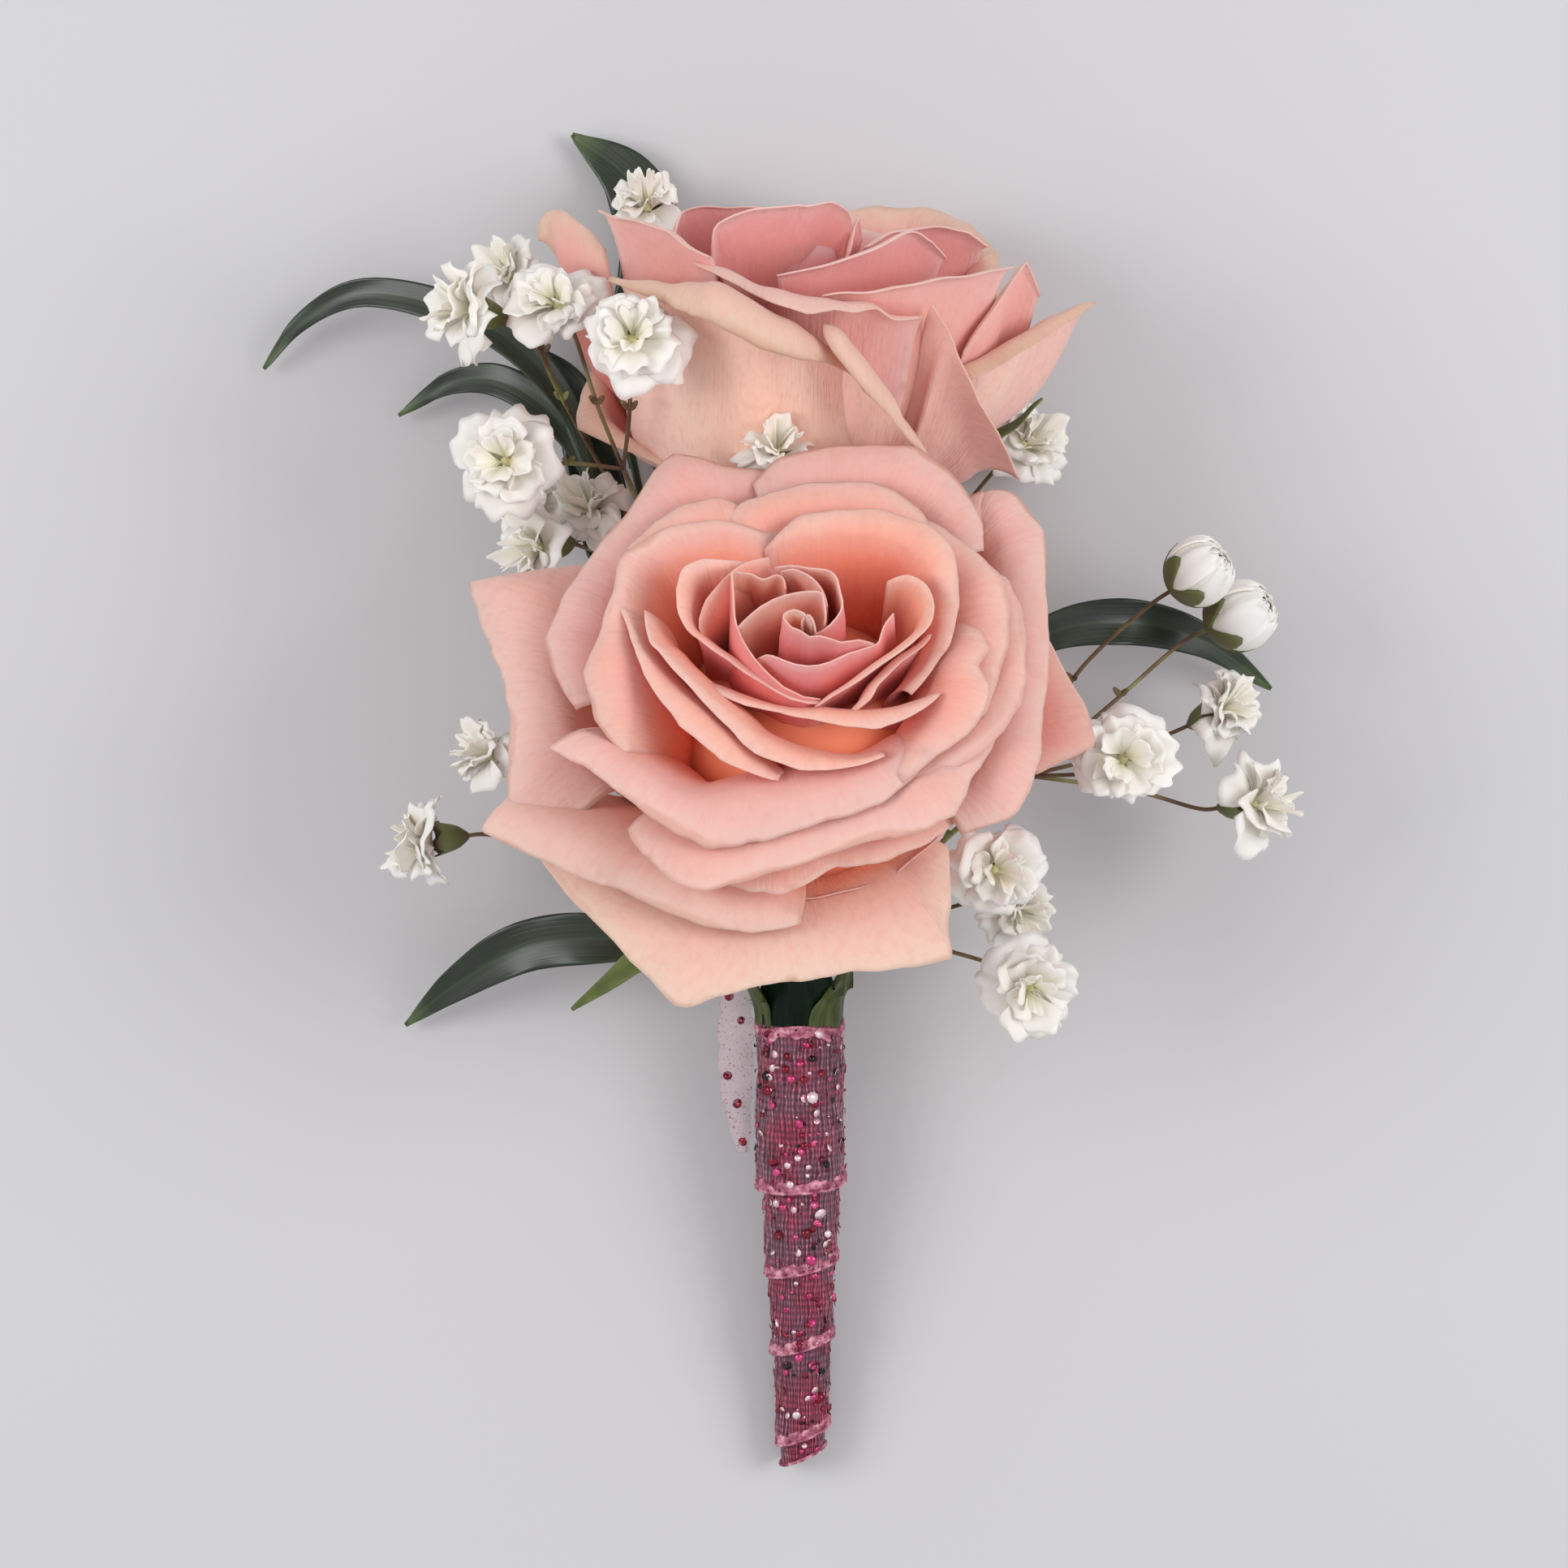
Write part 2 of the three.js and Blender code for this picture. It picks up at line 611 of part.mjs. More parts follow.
// Rose stems: a hip with five sepals under the petals, and a stem that runs down into the wrap
const STEM_RADIUS = 0.95;
const HIP = [[0, -7], [1.1, -6.8], [1.5, -5.2], [2.7, -3.8], [3.1, -2.4], [2.9, -0.75], [0, -0.9]];
function roseStem(rose, path, sepals) {
  const blades = sepals.map(({ azimuth, spine, halfWidth }) => {
    const turn = degrees(azimuth);
    const points = spine.map(([radius, height]) => onRose([radius * Math.cos(turn), radius * Math.sin(turn),
      height], rose));
    const up = new THREE.Vector3(0, 0, 1).applyAxisAngle(new THREE.Vector3(1, 0, 0), -degrees(rose.tilt));
    return leafBlade(points, halfWidth, { rows: spine.length, facing: up.toArray(), widest: 0.3 });
  });
  return join([placeOnRose(turned(HIP, 8), rose), stalk(path, STEM_RADIUS, 7, 14), ...blades]);
}

const LOW_SEPAL = [[1.8, -1.6], [5, -3], [9, -4.4], [12.5, -5]];
addPiece('rose_front_stem', roseStem(FRONT_ROSE, [
  onRose([0, 0, -5.5], FRONT_ROSE), [0.1, 13, 11.6], [-0.5, 8, 9.1], [-1.1, 4, 8.2],
  inWrap(-1.2, 0, 1), inWrap(-1.2, 0, 8), inWrap(-1.2, 0, 15), inWrap(-0.7, 0, 20.5), inWrap(-0.3, 0, 25),
  inWrap(0, 0, 30), inWrap(0, 0, 34), inWrap(0, 0, 38),
], [
  { azimuth: 218, halfWidth: 1.5, spine: [[1.8, -1.6], [8, -4.4], [14, -6.2], [19, -6.8], [24, -7.2]] },
  { azimuth: 290, halfWidth: 1.6, spine: LOW_SEPAL },
  { azimuth: 2, halfWidth: 1.6, spine: LOW_SEPAL },
  { azimuth: 74, halfWidth: 1.6, spine: [[1.8, -1.6], [5, -2.6], [9, -3], [12, -3]] },
  { azimuth: 146, halfWidth: 1.6, spine: LOW_SEPAL },
]), STEM_GREEN);
addPiece('rose_rear_stem', roseStem(REAR_ROSE, [
  onRose([0, 0, -5.5], REAR_ROSE), [-0.9, 38, 7.2], [-0.5, 30, 5.4], [0.4, 20, 5.2], [0.9, 11, 6.4],
    [1.15, 5, 7.9],
  inWrap(1.2, 0, -1.6), inWrap(1.2, 0, 1), inWrap(1.2, 0, 8), inWrap(1.2, 0, 14.5),
], [
  { azimuth: 3, halfWidth: 1.4, spine: [[1.8, -1.6], [8, -2.6], [14, -0.6], [18.4, 2.2], [21.3, 5.2]] },
  { azimuth: 80, halfWidth: 1.6, spine: [[1.8, -1.6], [5, -2.2], [9, -1.6]] },
  { azimuth: 150, halfWidth: 1.6, spine: [[1.8, -1.6], [5, -2.2], [9, -1.6]] },
  { azimuth: 222, halfWidth: 1.6, spine: LOW_SEPAL },
  { azimuth: 292, halfWidth: 1.6, spine: LOW_SEPAL },
]), STEM_GREEN);

// Baby's breath. A floret is three ruffled cups of white petals, one in the other, over a green calyx.
// Each spray is its stalks and calyces in one; each bloom's white petals are a piece of their own.
const CUPS = [
  { radius: 1, floor: 2.7, rim: 3.3, ruffle: 0.45, points: 10 },
  { radius: 0.72, floor: 3.15, rim: 4.5, ruffle: 0.35, points: 8 },
  { radius: 0.42, floor: 3.6, rim: 5.2, ruffle: 0.25, points: 6 },
];
const CUP_THICKNESS = 0.6;
const CALYX = [[0, -0.3], [1.2, 1.4], [1.5, 2.4], [0, 2.1]];

function ruffledCup({ radius, floor, rim, ruffle, points }, size, turn) {
  const positions = [0, 0, floor, 0, 0, floor + CUP_THICKNESS];
  const index = [];
  for (let k = 0; k < points; k++) {
    const angle = ((k + turn) / points) * 2 * Math.PI;
    const reach = radius * size * (k % 2 ? 0.74 : 1);
    const height = rim + (k % 4 < 2 ? ruffle : -ruffle) * (k % 2 ? 0.4 : 1);
    positions.push(reach * Math.cos(angle), reach * Math.sin(angle), height);
    positions.push(reach * Math.cos(angle), reach * Math.sin(angle), height + CUP_THICKNESS);
    const [low, high] = [2 + 2 * k, 3 + 2 * k];
    const [nextLow, nextHigh] = [2 + 2 * ((k + 1) % points), 3 + 2 * ((k + 1) % points)];
    index.push(0, nextLow, low, 1, high, nextHigh, low, nextLow, nextHigh, low, nextHigh, high);
  }
  const geometry = new THREE.BufferGeometry();
  geometry.setAttribute('position', new THREE.Float32BufferAttribute(positions, 3));
  geometry.setIndex(index);
  return solidFrom(geometry);
}

function facingFrame(foot, axis) {
  const turn = new THREE.Quaternion().setFromUnitVectors(new THREE.Vector3(0, 0, 1), vector(axis).normalize());
  return new THREE.Matrix4().compose(vector(foot), turn, new THREE.Vector3(1, 1, 1));
}

// at is the middle of the bloom, faces the way it looks, from the stalk points before its calyx
const BLOOM_MIDDLE = 3.6;
const sprays = [
  {
    name: 'gypsophila_upper_left',
    main: [...boundStem(-0.65, 1.95, 12), [-1.4, 4.6, 10.4], [-4, 12, 11], [-8, 24, 11], [-11, 34, 12.5],
      [-12.8, 41.5, 16], [-14.5, 45.8, 20]],
    florets: [
      { at: [-27.3, 58.6, 24], size: 4.4, faces: [-1, 0.25, 0.45],
        from: [[-11, 34, 12.5], [-14.6, 42.6, 10.8], [-19.8, 52, 13.6]] },
      { at: [-24.3, 62.4, 15], size: 3.6, faces: [-0.5, 0.6, 0.6],
        from: [[-19.2, 51, 13.2], [-21.4, 56, 12.8]] },
      { at: [-19.7, 58.9, 27], size: 4.3, faces: [-0.25, 0.45, 0.85],
        from: [[-14.5, 45.8, 20], [-16.5, 50.8, 24]] },
      { at: [-13.4, 55.4, 33], size: 4.6, faces: [0.05, 0.25, 0.95],
        from: [[-14.5, 45.8, 20], [-13.8, 50.2, 25.5]] },
      { at: [-24.1, 46.2, 24], size: 4.4, faces: [-0.2, 0.05, 0.98],
        from: [[-14.5, 45.8, 20], [-19, 46.2, 20.6]] },
      { at: [-22.9, 43, 9.5], size: 3.4, faces: [-0.7, 0.5, 0.5], from: [[-11, 34, 12.5], [-15.5, 38.6, 11]] },
      { at: [-17.6, 43, 15], size: 3.4, faces: [-0.5, 0.5, 0.7],
        from: [[-11.3, 35, 12.9], [-13.4, 38.6, 12.6]] },
      { at: [-22, 39.4, 17], size: 4.2, faces: [-0.8, -0.15, 0.5], from: [[-9.6, 29, 11.8], [-14, 36, 14]] },
    ],
  },
  {
    name: 'gypsophila_rear',
    main: [...boundStem(1.8, 1.45, 10), [2.4, 5, 9.9], [4, 12, 10.4], [3, 24, 10.6], [-2, 32, 10.4]],
    florets: [
      { at: [-2.7, 47.5, 31.6], size: 2.8, faces: [0.1, 0.1, 0.98],
        from: [[-2, 32, 10.4], [-5, 38.6, 15], [-4.6, 42.6, 21.6], [-3.2, 45.6, 26]] },
      { at: [-13, 69.3, 6.8], size: 3.1, faces: [-0.1, 0.8, 0.6],
        from: [[-2, 32, 10.4], [-8.6, 39, 6.4], [-13.2, 50, 4.2], [-13.6, 59, 3.9]] },
      { at: [19.4, 48.9, 6.2], size: 3.8, faces: [0.5, 0.4, 0.75],
        from: [[3, 24, 10.6], [9, 36, 7], [14, 43.4, 3.6]] },
    ],
  },
  {
    name: 'gypsophila_lower_left',
    main: [...boundStem(-1.8, 1.45, 10), [-2.7, 4.2, 10.1], [-7, 8, 10.8], [-13, 11.5, 11.6]],
    florets: [
      { at: [-31.4, 15.2, 15], size: 4.3, faces: [-1, -0.1, 0.2],
        from: [[-13, 11.5, 11.6], [-20, 14.4, 12.8]] },
      { at: [-26.2, 22.5, 15], size: 3.2, faces: [-0.8, 0.3, 0.3],
        from: [[-13, 11.5, 11.6], [-18, 17.5, 12.6]] },
    ],
  },
  {
    name: 'gypsophila_right',
    main: [...boundStem(0.65, 1.95, 12), [1.7, 4.4, 10.8], [6.5, 9.5, 12], [13, 16, 12.6], [19, 20.6, 13.6]],
    florets: [
      { at: [33.1, 37.6, 17], size: 3.3, faces: [0.55, 0.75, 0.35],
        from: [[19, 20.6, 13.6], [22.8, 28.6, 13]] },
      { at: [37, 34.1, 13], size: 3.6, faces: [0.8, 0.45, 0.35], from: [[19, 20.6, 13.6], [26.9, 27.3, 12.2]] },
      { at: [35.7, 26.2, 12], size: 3.8, faces: [0.75, 0.35, 0.55],
        from: [[19, 20.6, 13.6], [27, 22.6, 13.4]] },
      { at: [38.3, 18.3, 15], size: 4.1, faces: [0.85, 0.1, 0.5], from: [[19, 20.6, 13.6], [28, 19.3, 14.6]] },
      { at: [26, 21.9, 29], size: 4.5, faces: [0.05, -0.05, 1], from: [[19, 20.6, 13.6], [23.6, 20.8, 18]] },
      { at: [15.8, 12.9, 26], size: 4, faces: [0.25, -0.1, 0.96], from: [[8, 11, 12.2], [12.4, 12.4, 17]] },
      { at: [18.3, 9.2, 13.5], size: 3.4, faces: [0.5, -0.2, 0.8], from: [[6.5, 9.5, 12], [12, 9.4, 10.6]] },
      { at: [18.9, 3.1, 21], size: 4.5, faces: [0.25, -0.25, 0.93], from: [[3.6, 6.4, 11.4], [9.4, 6.6, 14]] },
    ],
  },
];
const PEDICEL_RADIUS = 0.4;
const MAIN_RADIUS = 0.45;
let bloomCount = 0;
for (const { name, main, florets } of sprays) {
  const green = [stalk(main, MAIN_RADIUS, 5, main.length + 1)];
  for (const { at, size, faces, from } of florets) {
    bloomCount += 1;
    const axis = vector(faces).normalize();
    const foot = vector(at).addScaledVector(axis, -BLOOM_MIDDLE);
    const place = facingFrame(foot.toArray(), faces);
    green.push(turned(CALYX, 5).transform(place.elements));
    const end = foot.clone().addScaledVector(axis, 0.3);
    const before = foot.clone().addScaledVector(axis, -1.6);
    green.push(stalk([...from, before.toArray(), end.toArray()], PEDICEL_RADIUS, 4, from.length + 2));
    const white = join(CUPS.map((cup, k) => ruffledCup(cup, size, k * 0.5 + bloomCount * 0.31)));
    addPiece(`gypsophila_bloom_${String(bloomCount).padStart(2, '0')}`, white.transform(place.elements), WHITE);
  }
  addPiece(name, join(green), STALK_BROWN);
}

// Narrow dark leaves: one stem of three leaves at the upper left, one leaf at the right, one at the lower left
addPiece('ruscus_upper_left', join([
  stalk([...boundStem(-0.7, -1.9, 12), [-2, 6.5, 5.2], [-7, 18, 4.6], [-12.5, 32, 5.5], [-16.6, 43, 8],
    [-19.6, 50.4, 8.6]], 0.5, 5, 12),
  leafBlade([[-16.6, 43, 8], [-19.5, 51.8, 9], [-24.5, 57.4, 8.8], [-30.5, 60.4, 8], [-37.5, 61.6, 6],
    [-42.6, 59.4, 3.4], [-46, 55.6, 1.4]], 1.5),
  leafBlade([[-16, 41.6, 7.6], [-19.6, 49.8, 7.4], [-25.1, 54, 6.4], [-29.6, 54.2, 4], [-34.4, 51.6, 1.4]],
    1.5),
  leafBlade([[-12.5, 32, 5.5], [-15.4, 38.2, 5.4], [-17.6, 47, 5.4], [-19.8, 54, 5], [-24.6, 57.8, 4.6]], 2.4),
]), LEAF_GREEN);
addPiece('ruscus_top', join([
  stalk([...boundStem(0.7, -1.9, 12), [0.1, 7.5, 4.2], [-5, 22, 2.6], [-11.4, 36, 2], [-14.8, 50, 1.7]],
    0.5, 5, 11),
  leafBlade([[-14.4, 47, 1.7], [-14.6, 57, 1.8], [-12.8, 66, 2.2], [-14.5, 71.6, 2.2], [-19.5, 75.7, 1.5]],
    2.8, { widest: 0.62, fold: 8 }),
]), LEAF_GREEN);
addPiece('ruscus_right', join([
  stalk([...boundStem(1.8, -1.5, 10), [3.6, 6.6, 4.8], [9, 17, 4.6], [15, 27, 7.4], [20.8, 32.4, 9.4]],
    0.45, 5, 10),
  leafBlade([[15, 27, 8], [20.8, 32.4, 9.4], [27.1, 33.6, 8.6], [34.1, 32.2, 5.6], [40.5, 28.1, 1.6]], 2,
    { widest: 0.5 }),
]), LEAF_GREEN);
addPiece('ruscus_lower_left', join([
  stalk([...boundStem(-1.8, -1.5, 10), [-3, 3.8, 6], [-7, 5.4, 6.6], [-12, 6.4, 8]], 0.45, 5, 8),
  leafBlade([[-7, 5.4, 7], [-15.4, 6.8, 8.6], [-23, 6.2, 7.4], [-29, 3, 4.4], [-33.8, -0.8, 1.2]], 2.3,
    { widest: 0.4 }),
]), LEAF_GREEN);

// Short leaf pieces bound in at the neck, standing up out of the ribbon round the stems
function neckLeaf(from, to, length, radius, halves, tip) {
  const rows = [0.35, length * 0.45, length].map((up, i) => Array.from({ length: halves + 1 }, (_, j) => {
    const narrow = i === 2 ? tip : 1;
    const angle = degrees((from + to) / 2 + (to - from) * (j / halves - 0.5) * narrow);
    const spread = radius + (up / length) ** 2 * 0.9;
    return vector(inWrap(spread * Math.cos(angle), spread * Math.sin(angle), -up));
  }));
  return solidFrom(bladeFrom(rows, LEAF_THICKNESS));
}
addPiece('neck_leaf_dark', neckLeaf(54, 128, 6.4, 3.4, 4, 0.5), LEAF_GREEN);
addPiece('neck_leaf_right', neckLeaf(-24, 20, 5, 3.4, 2, 0.6), STEM_GREEN);
addPiece('neck_leaf_left', neckLeaf(163, 205, 4.6, 3.4, 2, 0.6), STEM_GREEN);

// Loose end of sheer tulle that hangs out of the wrap on its left side
const tulleRows = [[2.4, 8.6], [-2, 8.2], [-6.5, 7.2], [-11.4, 6]].map(([y, z], i) => [
  new THREE.Vector3([-6.8, -6.9, -6.5, -5.2][i], y, z - 0.6),
  new THREE.Vector3([-5.6, -5.7, -5.5, -4.9][i], y, z),
  new THREE.Vector3([-4.6, -4.4, -4.3, -4.3][i], y, z - 0.2),
]);
addPiece('tulle_flap', solidFrom(bladeFrom(tulleRows, LEAF_THICKNESS)), TULLE);

export default part;
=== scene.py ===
import math
import bpy
import numpy as np
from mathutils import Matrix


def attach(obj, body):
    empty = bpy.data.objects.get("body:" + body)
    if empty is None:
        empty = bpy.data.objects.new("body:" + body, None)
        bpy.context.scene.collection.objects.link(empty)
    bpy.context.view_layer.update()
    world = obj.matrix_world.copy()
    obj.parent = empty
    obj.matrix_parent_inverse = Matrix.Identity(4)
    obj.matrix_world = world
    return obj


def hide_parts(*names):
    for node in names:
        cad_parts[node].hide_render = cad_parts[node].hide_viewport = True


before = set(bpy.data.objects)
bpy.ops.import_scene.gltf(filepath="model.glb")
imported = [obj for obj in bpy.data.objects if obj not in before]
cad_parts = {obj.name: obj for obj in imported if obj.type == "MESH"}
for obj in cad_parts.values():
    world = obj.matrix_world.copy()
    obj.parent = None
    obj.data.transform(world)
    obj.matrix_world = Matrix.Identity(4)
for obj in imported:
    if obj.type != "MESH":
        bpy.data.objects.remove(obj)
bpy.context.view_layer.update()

# The boutonniere lies on a pale surface and the camera looks straight down on it. Sizes and places are in
# millimetres from the point under its neck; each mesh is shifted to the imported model's origin once made.

# Front rose. A spray rose in full bloom: soft petals in a spiral, tight and upright at the heart, rolled
# back and drying to beige at the outer tips. All of them grow from one hip, so they are one piece.
MM = 0.001
TO_ORIGIN = np.array([2.54, -18.59, 0.0])
Z_AXIS = np.array([0.0, 0.0, 1.0])
FRONT_ROSE = dict(base=(0.2, 17.8, 19.6), tilt=28)

# Every petal rises from a ring on the hip, bellies out to its crest and folds back there into its lip. It is
# thin at its rim, and its colour changes over a band along the rim and down the hollow below the fold.
BASE_RADIUS = 2.6
BASE_SPREAD = 0.55
CREST_PULL = 0.3
CREST_STEP = 0.04
RADIAL_SHARE = 0.45
LIP_STEPS = 6
SHORT_LIP = 0.25
LONG_LIP = 13.0
LIP_UNEVENNESS = 0.07
ROWS_BELOW = 18
ROWS_OVER = 12
COLUMN_WIDTH = 0.55
FEWEST_COLUMNS = 14
MOST_COLUMNS = 58
RUFFLED_FROM = 0.55
SWELL = 0.22
RIM_THICKNESS = 0.14
ROOT_THICKNESS = 0.44
THIN_BORDER = 3.0
RIM_REACH = 14.0
HOLLOW_REACH = 11.0

# The kinds of petal: lean at the crest and roll of the lip in degrees, how far out and how low the belly is,
# where the rows end, age from folded to opened, how straight its edges run, and the depth of its waves
OUTER = dict(lean=15, roll=75, belly=0.95, low=-0.05, end=1.85, age=1.0, sharp=0.55, ruffle=0.19)
MIDDLE = dict(lean=35, roll=95, belly=1.0, low=0.1, end=1.85, age=0.55, sharp=0.35, ruffle=0.18)
INNER = dict(lean=70, roll=60, belly=1.1, low=0.2, end=2.0, age=0.15, sharp=0.2, ruffle=0.08)
HEART = dict(lean=92, roll=30, belly=1.25, low=0.35, end=1.6, age=0.0, sharp=0.15, ruffle=0.05)

# The eye above the flowers, and the square picture that it sees, whose scale is known at one height. The
# petals were read off enlarged corners of that picture.
EYE = np.array([-1.3, 19.9, 420.0])
PICTURE_MIDDLE = 966.0
POINTS_PER_MM = 15.0
MEASURED_AT = 20.0
FOLD_FREEDOM = 26.0
FRONT_VIEW = dict(corner=(560, 500), zoom=1.8667)
WHOLE_VIEW = dict(corner=(0, 0), zoom=1.0)

